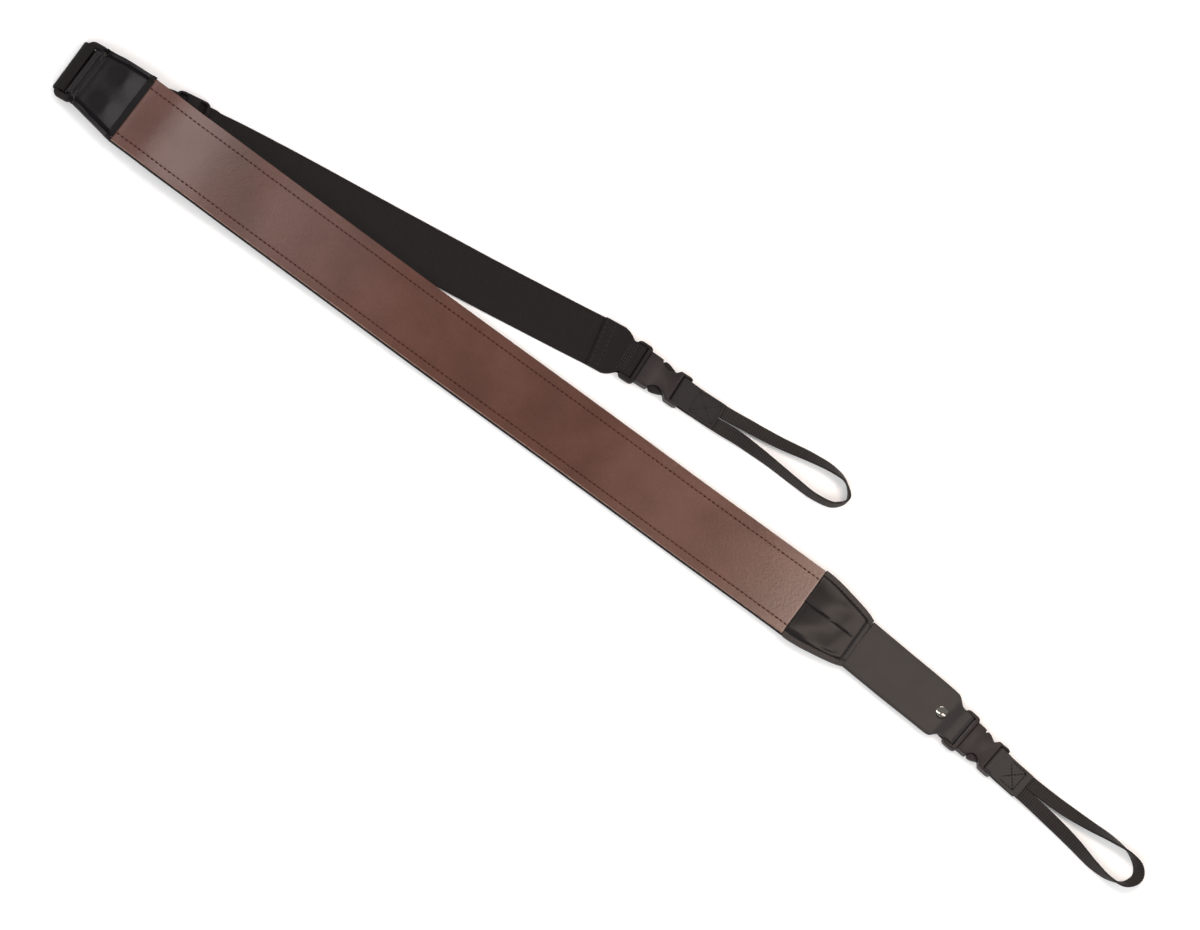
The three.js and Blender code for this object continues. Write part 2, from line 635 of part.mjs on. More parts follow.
// A short webbing tab, doubled round the socket's bar with the loop's ends between its layers
function loopTab(buckle) {
  const bar = drawnIn(SOCKET.bar, buckle);
  const bottom = LOOP_TAB_THICK / 2 - BUCKLE_MID;
  const top = bottom + LOOP_TAB_THICK + LOOP_THICK + 2 * GAP;
  const beside = (rows, z) => rows.map(({ past, over }) => ({ x: bar + past, z: z + over }));
  const path = [
    { x: buckle.tabEnd, z: top },
    ...beside(LOOP_TAB_TOP, top),
    ...arc(bar, 0, BAR_HALF + GAP + LOOP_TAB_THICK / 2, 90, 270, 12),
    ...beside(LOOP_TAB_BOTTOM, bottom),
    { x: buckle.tabEnd - LOOP_TAB_STEP, z: bottom },
  ];
  return band(folded(path, straight, () => LOOP_TAB_WIDTH / 2), LOOP_TAB_THICK);
}

// A narrow webbing loop that lies flat at its tab and rolls onto its edge round its tip
function loop(rows, buckle) {
  const spots = rows.map(({ x, y, roll }) => new THREE.Vector3(x, y, roll * ROLL_SHARE));
  const line = new THREE.CatmullRomCurve3(spots);
  const inTab = LOOP_TAB_THICK + GAP;
  const tabEnd = buckle.x + buckle.tabEnd;
  const stations = spread(0, 1, LOOP_STEPS).map((share) => {
    const spot = line.getPointAt(share);
    const way = line.getTangentAt(share).setZ(0).normalize();
    const roll = THREE.MathUtils.degToRad(spot.z / ROLL_SHARE);
    const side = new THREE.Vector3(-way.y * Math.cos(roll), way.x * Math.cos(roll), -Math.sin(roll));
    const rest = (LOOP_WIDTH / 2) * Math.sin(roll) + (LOOP_THICK / 2) * Math.abs(Math.cos(roll));
    const held = 1 - THREE.MathUtils.smoothstep(spot.x, tabEnd, tabEnd + LOOP_FALL);
    return { place: new THREE.Vector3(spot.x, spot.y, rest + held * inTab), side, half: LOOP_WIDTH / 2 };
  });
  return band(stations, LOOP_THICK);
}

// Both ends
const ENDS = [
  { name: "upper", buckle: UPPER_BUCKLE, rows: UPPER_LOOP },
  { name: "lower", buckle: LOWER_BUCKLE, rows: LOWER_LOOP },
];
for (const { name, buckle, rows } of ENDS) {
  const end = new THREE.Group();
  end.position.set(buckle.x, buckle.y, BUCKLE_MID);
  end.rotation.z = THREE.MathUtils.degToRad(buckle.heading);
  strap.add(end);
  piece(name + "_latch", latchBody(buckle), FINISH.plastic, end);
  piece(name + "_socket", socketBody(buckle), FINISH.plastic, end);
  piece(name + "_loop_tab", loopTab(buckle), FINISH.webbing, end);
  piece(name + "_loop", loop(rows, buckle), FINISH.webbing);
}

export default strap;
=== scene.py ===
"""A banjo strap on a pale floor: padded leather, sliding webbing, two buckles and two loops."""
import logging
import math
from contextlib import contextmanager
from dataclasses import dataclass, field
from enum import Enum
from typing import Dict, Iterator, List, Optional, Sequence, Tuple, Union

import bpy
import numpy as np
from mathutils import Matrix, Vector


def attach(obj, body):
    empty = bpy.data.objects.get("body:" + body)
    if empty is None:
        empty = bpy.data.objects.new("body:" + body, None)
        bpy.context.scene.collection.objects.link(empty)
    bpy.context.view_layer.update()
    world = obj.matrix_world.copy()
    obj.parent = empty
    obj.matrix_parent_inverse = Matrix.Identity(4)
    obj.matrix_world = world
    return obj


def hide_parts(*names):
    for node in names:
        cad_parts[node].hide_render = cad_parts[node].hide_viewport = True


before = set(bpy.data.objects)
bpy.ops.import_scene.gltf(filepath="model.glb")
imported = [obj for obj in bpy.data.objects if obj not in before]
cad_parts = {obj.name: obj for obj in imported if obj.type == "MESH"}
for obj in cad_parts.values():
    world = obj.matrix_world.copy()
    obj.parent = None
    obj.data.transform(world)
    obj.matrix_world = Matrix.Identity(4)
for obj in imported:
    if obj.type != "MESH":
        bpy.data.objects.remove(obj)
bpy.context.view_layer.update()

log = logging.getLogger("banjo_strap")

Rows = Tuple[Tuple[float, ...], ...]
Pair = Tuple[float, float]
Spot = Tuple[float, float, float]
Run = Tuple[np.ndarray, np.ndarray]

MM = 0.001
# Sizes are drawn in mm on the pad: x from its upper end along its middle line, z from the floor
PAD_ORIGIN = np.array((-410.77, -33.26, 0.0))
# The room left between pieces that lie on each other
GAP = 0.3
# Points nearer than this, in metres, are one point
MERGE = 1e-5
# Where the middle of a flat strap lies on its UV map, so that no part of the map is below zero
FLAT_MIDDLE = 30.0
# A wave texture of scale 1 repeats 20 times in 2 pi metres
WAVE_SCALE = 2 * math.pi / 20
# How many steps a flowing line is first drawn in for each of its points
FLOW_STEPS = 40
UP = np.array((0.0, 0.0, 1.0))


class Slot(Enum):
    """The record's material slots."""

    BROWN_LEATHER = "brown_leather"
    BACKING = "backing"
    BLACK_LEATHER = "black_leather"
    WEBBING = "webbing"
    LOOP_WEBBING = "loop_webbing"
    PLASTIC = "plastic"
    NICKEL = "nickel"


def linear(code: str) -> Tuple[float, float, float, float]:
    """Turns an sRGB hex colour to linear light.

    Args:
        code: six hex digits after a hash sign.

    Returns:
        The colour as red, green, blue and alpha.
    """
    parts = [int(code[i:i + 2], 16) / 255 for i in (1, 3, 5)]
    return (*[p / 12.92 if p <= 0.04045 else ((p + 0.055) / 1.055) ** 2.4 for p in parts], 1.0)


def add_node(tree: bpy.types.NodeTree, kind: str, settings: Optional[dict] = None,
             links: Optional[dict] = None) -> bpy.types.Node:
    """Adds a shader node with its settings and links.

    Args:
        tree: the material's node tree.
        kind: the node's type name.
        settings: values by input name, input number or property name. "stops" gives a colour ramp its
            places from 0 to 1 with their hex colours.
        links: output sockets by input name or number.

    Returns:
        The new node.
    """
    node = tree.nodes.new(kind)
    for key, value in (settings or {}).items():
        if key == "stops":
            elements = node.color_ramp.elements
            while len(elements) < len(value):
                elements.new(0.5)
            for element, (place, code) in zip(elements, value):
                element.position = place
                element.color = linear(code)
        elif isinstance(key, int) or key in node.inputs:
            node.inputs[key].default_value = value
        else:
            setattr(node, key, value)
    for key, source in (links or {}).items():
        tree.links.new(source, node.inputs[key])
    return node


def between(values: np.ndarray, slopes: np.ndarray, i: np.ndarray, t: np.ndarray,
            step: np.ndarray) -> np.ndarray:
    """Goes smoothly from one knot's value to the next one's, with a given slope at both.

    Args:
        values: the value at each knot.
        slopes: the slope at each knot.
        i: the knot before each place.
        t: how far each place is on the way to the next knot, from 0 to 1.
        step: the distance between the two knots.

    Returns:
        The value at each place.
    """
    rise = (2 * t - 3) * t * t
    return ((1 + rise) * values[i] - rise * values[i + 1]
            + step * (t * (t - 1) ** 2 * slopes[i] + t * t * (t - 1) * slopes[i + 1]))


class Curve:
    """A smooth curve through table rows that never overshoots them."""

    def __init__(self, xs: Sequence[float], ys: Sequence[float]) -> None:
        """Sorts the rows and works out a slope at each of them.

        Args:
            xs: places along the strap.
            ys: the value at each place.
        """
        order = np.argsort(xs)
        self.xs = np.asarray(xs, float)[order]
        self.ys = np.asarray(ys, float)[order]
        secants = np.diff(self.ys) / np.diff(self.xs)
        before, after = secants[:-1], secants[1:]
        same = before * after > 0
        total = np.where(same, before + after, 1.0)
        inner = np.where(same, 2 * before * after / total, 0.0)
        self.slopes = np.concatenate((secants[:1], inner, secants[-1:]))

    def __call__(self, x: Union[float, np.ndarray]) -> np.ndarray:
        """Gives the value at a place, held level beyond the table's ends.

        Args:
            x: the place, or any number of them.

        Returns:
            The value at each place.
        """
        x = np.clip(x, self.xs[0], self.xs[-1])
        i = np.clip(np.searchsorted(self.xs, x, "right") - 1, 0, len(self.xs) - 2)
        step = self.xs[i + 1] - self.xs[i]
        return between(self.ys, self.slopes, i, (x - self.xs[i]) / step, step)

    def heading(self, x: Union[float, np.ndarray], reach: float = 0.5) -> np.ndarray:
        """The angle that a line with this y by x makes with x, taken over a short reach to both sides."""
        return np.arctan2(self(x + reach) - self(x - reach), 2 * reach)


def column(rows: Rows, number: int) -> Curve:
    """Makes the curve of one column of a table against its first column."""
    return Curve([row[0] for row in rows], [row[number] for row in rows])


def bell(x: np.ndarray, middle: float, width: float) -> np.ndarray:
    """A smooth bump of height 1 about a middle."""
    return np.exp(-((x - middle) / width) ** 2)


def smooth(x: np.ndarray, start: float, end: float) -> np.ndarray:
    """Rises softly from 0 at the start to 1 at the end."""
    t = np.clip((np.asarray(x, float) - start) / (end - start), 0, 1)
    return t * t * (3 - 2 * t)


def unit(v: np.ndarray) -> np.ndarray:
    """Scales each row to length 1."""
    return v / np.maximum(np.linalg.norm(v, axis=-1, keepdims=True), 1e-9)


def spread(*parts: Union[float, np.ndarray]) -> np.ndarray:
    """Stacks coordinates to points, with single numbers repeated for all of them."""
    return np.stack(np.broadcast_arrays(*parts), axis=-1)


def lengths(places: np.ndarray) -> np.ndarray:
    """The distance along a line of points, from its first point to each."""
    return np.concatenate(([0.0], np.cumsum(np.linalg.norm(np.diff(places, axis=0), axis=1))))


def arc(x: float, z: float, radius: float, start: float, end: float, steps: int) -> List[Pair]:
    """Points of a bend about a bar, as x and z."""
    angles = np.radians(np.linspace(start, end, steps + 1))
    return [(x + radius * math.cos(a), z + radius * math.sin(a)) for a in angles]


def even(places: np.ndarray, step: float) -> np.ndarray:
    """Adds points to a line wherever two lie further apart than a step.

    Args:
        places: the line's points, with any further columns to carry along.
        step: the largest distance between points.

    Returns:
        The denser line, with every given point kept.
    """
    dense = [places[:1]]
    for a, b in zip(places[:-1], places[1:]):
        count = max(1, math.ceil(np.linalg.norm((b - a)[:3]) / step))
        dense.append(a + (b - a) * np.linspace(0, 1, count + 1)[1:, None])
    return np.concatenate(dense)


def flowing(points: np.ndarray, count: int) -> np.ndarray:
    """Draws a flowing line through points, evenly spaced in plan.

    Args:
        points: the points to pass, x and y first.
        count: how many points the line gets.

    Returns:
        The line's points.
    """
    gaps = np.linalg.norm(np.diff(points[:, :2], axis=0), axis=1) ** 0.5
    knots = np.concatenate(([0.0], np.cumsum(gaps)))
    secants = np.diff(points, axis=0) / gaps[:, None]
    before, after = gaps[:-1, None], gaps[1:, None]
    inner = (secants[:-1] * after + secants[1:] * before) / (before + after)
    slopes = np.concatenate((secants[:1], inner, secants[-1:]))
    at = np.linspace(0, knots[-1], FLOW_STEPS * len(points))
    i = np.clip(np.searchsorted(knots, at, "right") - 1, 0, len(gaps) - 1)
    line = between(points, slopes, i, ((at - knots[i]) / gaps[i])[:, None], gaps[i][:, None])
    run = lengths(line[:, :2])
    marks = np.linspace(0, run[-1], count)
    return np.stack([np.interp(marks, run, line[:, k]) for k in range(line.shape[1])], axis=1)


def pick(piece: bpy.types.Object) -> None:
    """Makes one object the only selected and the active one.

    Args:
        piece: the object.
    """
    if bpy.context.mode != "OBJECT":
        bpy.ops.object.mode_set(mode="OBJECT")
    bpy.ops.object.select_all(action="DESELECT")
    piece.select_set(True)
    bpy.context.view_layer.objects.active = piece


def take(name: str) -> bpy.types.Object:
    """Names the primitive that was just added, and its mesh.

    Args:
        name: the name for both.

    Returns:
        The new object.
    """
    piece = bpy.context.object
    piece.name = name
    piece.data.name = name
    return piece


@contextmanager
def editing(piece: bpy.types.Object) -> Iterator[None]:
    """Opens a piece in edit mode with all of it selected, and closes it again.

    Args:
        piece: the object.

    Yields:
        Nothing, while it is open.
    """
    pick(piece)
    bpy.ops.object.mode_set(mode="EDIT")
    bpy.ops.mesh.select_all(action="SELECT")
    yield
    bpy.ops.object.mode_set(mode="OBJECT")


def modify(piece: bpy.types.Object, kind: str, **settings: object) -> None:
    """Adds a modifier with its settings and applies it.

    Args:
        piece: the object to change.
        kind: the modifier's type name.
        settings: the modifier's properties.
    """
    pick(piece)
    modifier = piece.modifiers.new(kind.title(), kind)
    for key, value in settings.items():
        setattr(modifier, key, value)
    bpy.ops.object.modifier_apply(modifier=modifier.name)


def soften(piece: bpy.types.Object, degrees: float = 40) -> None:
    """Shades a piece smooth, apart from edges sharper than an angle."""
    pick(piece)
    bpy.ops.object.shade_smooth_by_angle(angle=math.radians(degrees))


def round_edges(piece: bpy.types.Object, width: float, sharp: float = 60, shaded: float = 40) -> None:
    """Rounds a piece's edges off and shades it smooth.

    Args:
        piece: the object to change.
        width: how far its edges are rounded off, in mm.
        sharp: the angle from which an edge is rounded.
        shaded: the angle up to which what is left is shaded smooth.
    """
    modify(piece, "BEVEL", width=width * MM, segments=2, limit_method="ANGLE",
           angle_limit=math.radians(sharp))
    soften(piece, shaded)


def sheet(name: str, places: np.ndarray, flat: np.ndarray) -> bpy.types.Object:
    """Adds a grid and lays it over places in space.

    Args:
        name: the piece's name.
        places: points by row and column, in mm on the pad.
        flat: where each point lies on the uncut sheet, in mm, for its UV map.

    Returns:
        The new object.
    """
    rows, columns = places.shape[:2]
    bpy.ops.object.select_all(action="DESELECT")
    bpy.ops.mesh.primitive_grid_add(x_subdivisions=rows - 1, y_subdivisions=columns - 1, size=2)
    piece = take(name)
    mesh = piece.data
    spots = np.empty(len(mesh.vertices) * 3)
    mesh.vertices.foreach_get("co", spots)
    spots = spots.reshape(-1, 3)
    i = np.rint((spots[:, 0] + 1) / 2 * (rows - 1)).astype(int)
    j = np.rint((spots[:, 1] + 1) / 2 * (columns - 1)).astype(int)
    mesh.vertices.foreach_set("co", ((places[i, j] + PAD_ORIGIN) * MM).ravel())
    corners = np.empty(len(mesh.loops), int)
    mesh.loops.foreach_get("vertex_index", corners)
    mesh.uv_layers.active.data.foreach_set("uv", (flat[i, j] * MM)[corners].ravel())
    mesh.update()
    return piece


def strap(name: str, middle: np.ndarray, side: np.ndarray, half: Union[float, np.ndarray], thick: float,
          columns: int = 9, bevel: float = 0.35) -> bpy.types.Object:
    """Makes a flat strap that follows a line, with rounded edges.

    Args:
        name: the piece's name.
        middle: the strap's middle line, in mm.
        side: the direction across the strap, for all of it or at each point.
        half: half its width, for all of it or at each point.
        thick: its thickness.
        columns: how many points lie across it.
        bevel: how far its edges are rounded off.

    Returns:
        The new object.
    """
    across = np.broadcast_to(half, len(middle))[:, None] * np.linspace(-1, 1, columns)
    places = middle[:, None] + np.broadcast_to(side, middle.shape)[:, None] * across[..., None]
    piece = sheet(name, places, spread(lengths(middle)[:, None], across + FLAT_MIDDLE))
    modify(piece, "SOLIDIFY", thickness=thick * MM, offset=0, use_even_offset=True)
    round_edges(piece, bevel)
    return piece


def folded(path: Sequence[Pair], line: Curve, step: float) -> Run:
    """Lays a path of x and z along a line in plan.

    Args:
        path: the strap's x and z.
        line: its y by x.
        step: the largest distance between points.

    Returns:
        The middle points, and the direction across the strap at each.
    """
    x, z = even(np.array(path, float), step).T
    turn = line.heading(x)
    return spread(x, line(x), z), spread(-np.sin(turn), np.cos(turn), 0.0)


# A stitch's straight part and its two drawn-in ends: their share of its length, and the ends' thickness
STITCH_MIDDLE = 0.62
STITCH_ENDS = ((0.11, 0.8), (0.08, 0.5))
# How far an end sinks in as it thins, as a share of the thread
STITCH_SINK = 0.4
# How far to both sides of its middle a stitch's direction is taken, as a share of its length
STITCH_REACH = 0.3


def model_stitch(length: float, thick: float) -> Tuple[np.ndarray, np.ndarray]:
    """Models one stitch of thread lying along x, and takes it up again as points and faces.

    Args:
        length: the stitch's length in mm.
        thick: the thread's thickness in mm.

    Returns:
        The stitch's points and its faces.
    """
    bpy.ops.object.select_all(action="DESELECT")
    bpy.ops.mesh.primitive_cylinder_add(vertices=6, radius=0.5, depth=1, rotation=(0, math.pi / 2, 0))
    piece = take("stitch")
    bpy.ops.object.transform_apply(rotation=True)
    with editing(piece):
        bpy.ops.transform.resize(value=(length * STITCH_MIDDLE, thick, thick))
        bpy.ops.mesh.select_mode(type="FACE")
    for face in piece.data.polygons:
        face.select = abs(face.normal.x) > 0.9
    for reach, scale in STITCH_ENDS:
        bpy.ops.object.mode_set(mode="EDIT")
        bpy.ops.mesh.extrude_region_shrink_fatten(TRANSFORM_OT_shrink_fatten={"value": length * reach})
        bpy.ops.object.mode_set(mode="OBJECT")
        for vertex in piece.data.vertices:
            if vertex.select:
                vertex.co.y *= scale
                vertex.co.z = vertex.co.z * scale - thick * (1 - scale) * STITCH_SINK
    with editing(piece):
        bpy.ops.mesh.quads_convert_to_tris()
    points = np.array([tuple(v.co) for v in piece.data.vertices])
    faces = np.array([tuple(f.vertices) for f in piece.data.polygons])
    bpy.data.objects.remove(piece)
    return points, faces


def sew(name: str, runs: Sequence[Run], pitch: float, length: float, thick: float) -> bpy.types.Object:
    """Sews rows of stitches, each a copy of one modelled stitch.

    Args:
        name: the piece's name.
        runs: for each row, its line in mm and the outward direction.
        pitch: the distance from stitch to stitch.
        length: the length of a stitch that shows.
        thick: the thread's thickness.

    Returns:
        One object with all the stitches.
    """
    points, faces = model_stitch(length, thick)
    meshes = []
    for line, out in runs:
        run = lengths(line)
        count = max(1, round(run[-1] / pitch))
        marks = (np.arange(count) + 0.5) * run[-1] / count

        def at(where: np.ndarray) -> np.ndarray:
            """Points of the row at given distances along it."""
            return np.stack([np.interp(where, run, line[:, k]) for k in range(3)], axis=1)

        reach = length * STITCH_REACH
        along = unit(at(marks + reach) - at(marks - reach))
        side = unit(np.cross(unit(out), along))
        turn = np.stack((along, side, np.cross(along, side)), axis=-1)
        meshes.append(np.einsum("nij,vj->nvi", turn, points) + at(marks)[:, None])
    stitches = np.concatenate(meshes)
    every = faces[None] + (np.arange(len(stitches)) * len(points))[:, None, None]
    places = (stitches.reshape(-1, 3) + PAD_ORIGIN) * MM
    mesh = bpy.data.meshes.new(name)
    mesh.from_pydata(places.tolist(), [], every.reshape(-1, 3).tolist())
    piece = bpy.data.objects.new(name, mesh)
    bpy.context.collection.objects.link(piece)
    soften(piece, degrees=50)
    return piece


def join(name: str, pieces: Sequence[bpy.types.Object]) -> bpy.types.Object:
    """Joins objects to one and names it.

    Args:
        name: the new piece's name.
        pieces: what is joined.

    Returns:
        The joined object.
    """
    pick(pieces[0])
    for piece in pieces:
        piece.select_set(True)
    bpy.ops.object.join()
    return take(name)


@dataclass(frozen=True)
class Finish:
    """A material of the strap, made once and worn by any number of pieces."""

    name: str

    def shade(self, tree: bpy.types.NodeTree) -> Tuple[dict, dict]:
        """Adds this finish's own nodes.

        Args:
            tree: the material's node tree.

        Returns:
            The shader's values and the sockets that feed it, by input name.
        """
        raise NotImplementedError

    def material(self) -> bpy.types.Material:
        """Makes the material when it is first asked for.

        Returns:
            The material.
        """
        found = bpy.data.materials.get(self.name)
        if found:
            return found
        made = bpy.data.materials.new(self.name)
        made.use_nodes = True
        tree = made.node_tree
        tree.nodes.clear()
        shader = add_node(tree, "ShaderNodeBsdfPrincipled", *self.shade(tree))
        add_node(tree, "ShaderNodeOutputMaterial", links={"Surface": shader.outputs["BSDF"]})
        return made

    def dress(self, piece: bpy.types.Object) -> None:
        """Puts the material on every face of a piece."""
        piece.data.materials.clear()
        piece.data.materials.append(self.material())


@dataclass(frozen=True)
class GlazedLeather(Finish):
    """Pull-up cowhide with a glazed face: soft mottling, fine grain, and a low waxy shine."""

    dark: str = "#4d3027"
    mid: str = "#56362c"
    light: str = "#5f3d33"
    pore: str = "#8c7a74"
    mottle_mm: float = 42
    grain_mm: float = 1.6
    pore_mm: float = 0.7
    wear_mm: float = 24
    roughness: float = 0.25
    uneven: float = 0.05

    def shade(self, tree: bpy.types.NodeTree) -> Tuple[dict, dict]:
        """Mottled brown with fine pores and an uneven shine.

        Args:
            tree: the material's node tree.

        Returns:
            The shader's values and the sockets that feed it, by input name.
        """
        place = add_node(tree, "ShaderNodeTexCoord").outputs["Object"]
        mottle = add_node(tree, "ShaderNodeTexNoise", {"Scale": 1 / (self.mottle_mm * MM), "Detail": 4,
                                                       "Roughness": 0.55}, {"Vector": place})
        tone = add_node(tree, "ShaderNodeValToRGB",
                        {"stops": ((0.28, self.dark), (0.5, self.mid), (0.74, self.light))},
                        {"Fac": mottle.outputs[0]})
        grain = add_node(tree, "ShaderNodeTexVoronoi", {"Scale": 1 / (self.grain_mm * MM),
                                                        "feature": "SMOOTH_F1"}, {"Vector": place})
        pores = add_node(tree, "ShaderNodeTexNoise", {"Scale": 1 / (self.pore_mm * MM), "Detail": 3},
                         {"Vector": place})
        pitted = add_node(tree, "ShaderNodeValToRGB", {"stops": ((0.34, self.pore), (0.6, "#ffffff"))},
                          {"Fac": pores.outputs[0]})
        spots = add_node(tree, "ShaderNodeMix", {"data_type": "RGBA", "blend_type": "MULTIPLY", 0: 0.22},
                         {6: tone.outputs["Color"], 7: pitted.outputs["Color"]})
        wear = add_node(tree, "ShaderNodeTexNoise", {"Scale": 1 / (self.wear_mm * MM), "Detail": 3},
                        {"Vector": place})
        shine = add_node(tree, "ShaderNodeMapRange", {"To Min": self.roughness - self.uneven,
                                                      "To Max": self.roughness + self.uneven},
                         {"Value": wear.outputs[0]})
        coarse = add_node(tree, "ShaderNodeBump", {"Strength": 0.35, "Distance": 0.12 * MM},
                          {"Height": grain.outputs[0]})
        fine = add_node(tree, "ShaderNodeBump", {"Strength": 0.3, "Distance": 0.08 * MM},
                        {"Height": pores.outputs[0], "Normal": coarse.outputs[0]})
        values = {"IOR": 1.5}
        return values, {"Base Color": spots.outputs[2], "Roughness": shine.outputs[0],
                        "Normal": fine.outputs[0]}


@dataclass(frozen=True)
class BlackLeather(Finish):
    """Drum-dyed black cowhide: charcoal, mottled a little greyer at random, with a close grain."""

    dark: str = "#0c0a0c"
    light: str = "#151215"
    mottle_mm: float = 18
    grain_mm: float = 1.3
    grain_depth_mm: float = 0.05
    roughness: float = 0.2
    uneven: float = 0.03
    specular: float = 0.24

    def shade(self, tree: bpy.types.NodeTree) -> Tuple[dict, dict]:
        """Charcoal mottling, a close pebbled grain, and an uneven shine.

        Args:
            tree: the material's node tree.

        Returns:
            The shader's values and the sockets that feed it, by input name.
        """
        place = add_node(tree, "ShaderNodeTexCoord").outputs["Object"]
        mottle = add_node(tree, "ShaderNodeTexNoise", {"Scale": 1 / (self.mottle_mm * MM), "Detail": 3},
                          {"Vector": place})
        tone = add_node(tree, "ShaderNodeValToRGB", {"stops": ((0.3, self.dark), (0.7, self.light))},
                        {"Fac": mottle.outputs[0]})
        grain = add_node(tree, "ShaderNodeTexVoronoi", {"Scale": 1 / (self.grain_mm * MM),
                                                        "feature": "SMOOTH_F1"}, {"Vector": place})
        shine = add_node(tree, "ShaderNodeMapRange", {"To Min": self.roughness - self.uneven,
                                                      "To Max": self.roughness + self.uneven},
                         {"Value": mottle.outputs[0]})
        bump = add_node(tree, "ShaderNodeBump", {"Strength": 0.35, "Distance": self.grain_depth_mm * MM},
                        {"Height": grain.outputs[0]})
        values = {"IOR": 1.5, "Specular IOR Level": self.specular}
        return values, {"Base Color": tone.outputs["Color"], "Roughness": shine.outputs[0],
                        "Normal": bump.outputs[0]}


@dataclass(frozen=True)
class WovenWebbing(Finish):
    """Woven synthetic webbing: rows of yarn along and across, dark in the gaps, with a soft sheen."""

    dark: str = "#0b0909"
    light: str = "#181414"
    across_mm: float = 1.7
    along_mm: float = 2.4
    fuzz_mm: float = 0.9
    fuzz_share: float = 0.5
    warp_share: float = 0.4
    depth_mm: float = 0.2
    roughness: float = 0.7
    specular: float = 0.25

    def shade(self, tree: bpy.types.NodeTree) -> Tuple[dict, dict]:
        """Yarn rows on the strap's own UV map, which is in metres along and across it.

        Args:
            tree: the material's node tree.

        Returns:
            The shader's values and the sockets that feed it, by input name.
        """
        place = add_node(tree, "ShaderNodeTexCoord").outputs["UV"]
        bands = {"wave_type": "BANDS", "wave_profile": "SIN", "Distortion": 0.0}
        weft = add_node(tree, "ShaderNodeTexWave", {**bands, "bands_direction": "X",
                                                    "Scale": WAVE_SCALE / (self.across_mm * MM)},
                        {"Vector": place})
        warp = add_node(tree, "ShaderNodeTexWave", {**bands, "bands_direction": "Y",
                                                    "Scale": WAVE_SCALE / (self.along_mm * MM)},
                        {"Vector": place})
        fuzz = add_node(tree, "ShaderNodeTexNoise", {"Scale": 1 / (self.fuzz_mm * MM), "Detail": 3},
                        {"Vector": place})
        yarn = add_node(tree, "ShaderNodeMath", {"operation": "MULTIPLY_ADD", 1: self.warp_share},
                        {0: warp.outputs["Fac"], 2: weft.outputs["Fac"]})
        rough_yarn = add_node(tree, "ShaderNodeMath", {"operation": "MULTIPLY_ADD", 1: self.fuzz_share},
                              {0: fuzz.outputs[0], 2: yarn.outputs[0]})
        level = add_node(tree, "ShaderNodeMapRange", {"From Max": 1.8}, {"Value": rough_yarn.outputs[0]})
        tone = add_node(tree, "ShaderNodeValToRGB", {"stops": ((0.15, self.dark), (0.8, self.light))},
                        {"Fac": level.outputs[0]})
        bump = add_node(tree, "ShaderNodeBump", {"Strength": 0.8, "Distance": self.depth_mm * MM},
                        {"Height": level.outputs[0]})
        values = {"Roughness": self.roughness, "IOR": 1.53, "Specular IOR Level": self.specular}
        return values, {"Base Color": tone.outputs["Color"], "Normal": bump.outputs[0]}


@dataclass(frozen=True)
class MouldedPlastic(Finish):
    """Injection-moulded acetal: black, with a fine spark-eroded texture and a dull shine."""

    dark: str = "#1f191a"
    light: str = "#282121"
    grit_mm: float = 0.5
    wear_mm: float = 6
    roughness: float = 0.5
    specular: float = 0.36

    def shade(self, tree: bpy.types.NodeTree) -> Tuple[dict, dict]:
        """A fine even grit, drawn a little coarser than real so that it shows, with slight handling wear.

        Args:
            tree: the material's node tree.

        Returns:
            The shader's values and the sockets that feed it, by input name.
        """
        place = add_node(tree, "ShaderNodeTexCoord").outputs["Object"]
        grit = add_node(tree, "ShaderNodeTexNoise", {"Scale": 1 / (self.grit_mm * MM), "Detail": 2},
                        {"Vector": place})
        wear = add_node(tree, "ShaderNodeTexNoise", {"Scale": 1 / (self.wear_mm * MM), "Detail": 4},
                        {"Vector": place})
        tone = add_node(tree, "ShaderNodeValToRGB", {"stops": ((0.35, self.dark), (0.7, self.light))},
                        {"Fac": wear.outputs[0]})
        shine = add_node(tree, "ShaderNodeMapRange", {"To Min": self.roughness - 0.07,
                                                      "To Max": self.roughness + 0.09},
                         {"Value": wear.outputs[0]})
        bump = add_node(tree, "ShaderNodeBump", {"Strength": 0.25, "Distance": 0.06 * MM},
                        {"Height": grit.outputs[0]})
        values = {"IOR": 1.48, "Specular IOR Level": self.specular}
        return values, {"Base Color": tone.outputs["Color"], "Roughness": shine.outputs[0],
                        "Normal": bump.outputs[0]}


@dataclass(frozen=True)
class BondedThread(Finish):
    """Bonded nylon thread: twisted plies with a slight gloss on each stitch."""

    dark: str = "#200907"
    light: str = "#3b140f"
    ply_mm: float = 0.5
    roughness: float = 0.7
    specular: float = 0.2

    def shade(self, tree: bpy.types.NodeTree) -> Tuple[dict, dict]:
        """Slanted plies across each stitch, drawn coarser than the real twist so that they show.

        Args:
            tree: the material's node tree.

        Returns:
            The shader's values and the sockets that feed it, by input name.
        """
        place = add_node(tree, "ShaderNodeTexCoord").outputs["Object"]
        plies = add_node(tree, "ShaderNodeTexWave", {"bands_direction": "DIAGONAL", "Distortion": 0.5,
                                                     "Scale": WAVE_SCALE / (self.ply_mm * MM)},
                         {"Vector": place})
        tone = add_node(tree, "ShaderNodeValToRGB", {"stops": ((0.2, self.dark), (0.8, self.light))},
                        {"Fac": plies.outputs["Fac"]})
        bump = add_node(tree, "ShaderNodeBump", {"Strength": 0.5, "Distance": 0.1 * MM},
                        {"Height": plies.outputs["Fac"]})
        values = {"Roughness": self.roughness, "IOR": 1.53, "Specular IOR Level": self.specular}
        return values, {"Base Color": tone.outputs["Color"], "Normal": bump.outputs[0]}


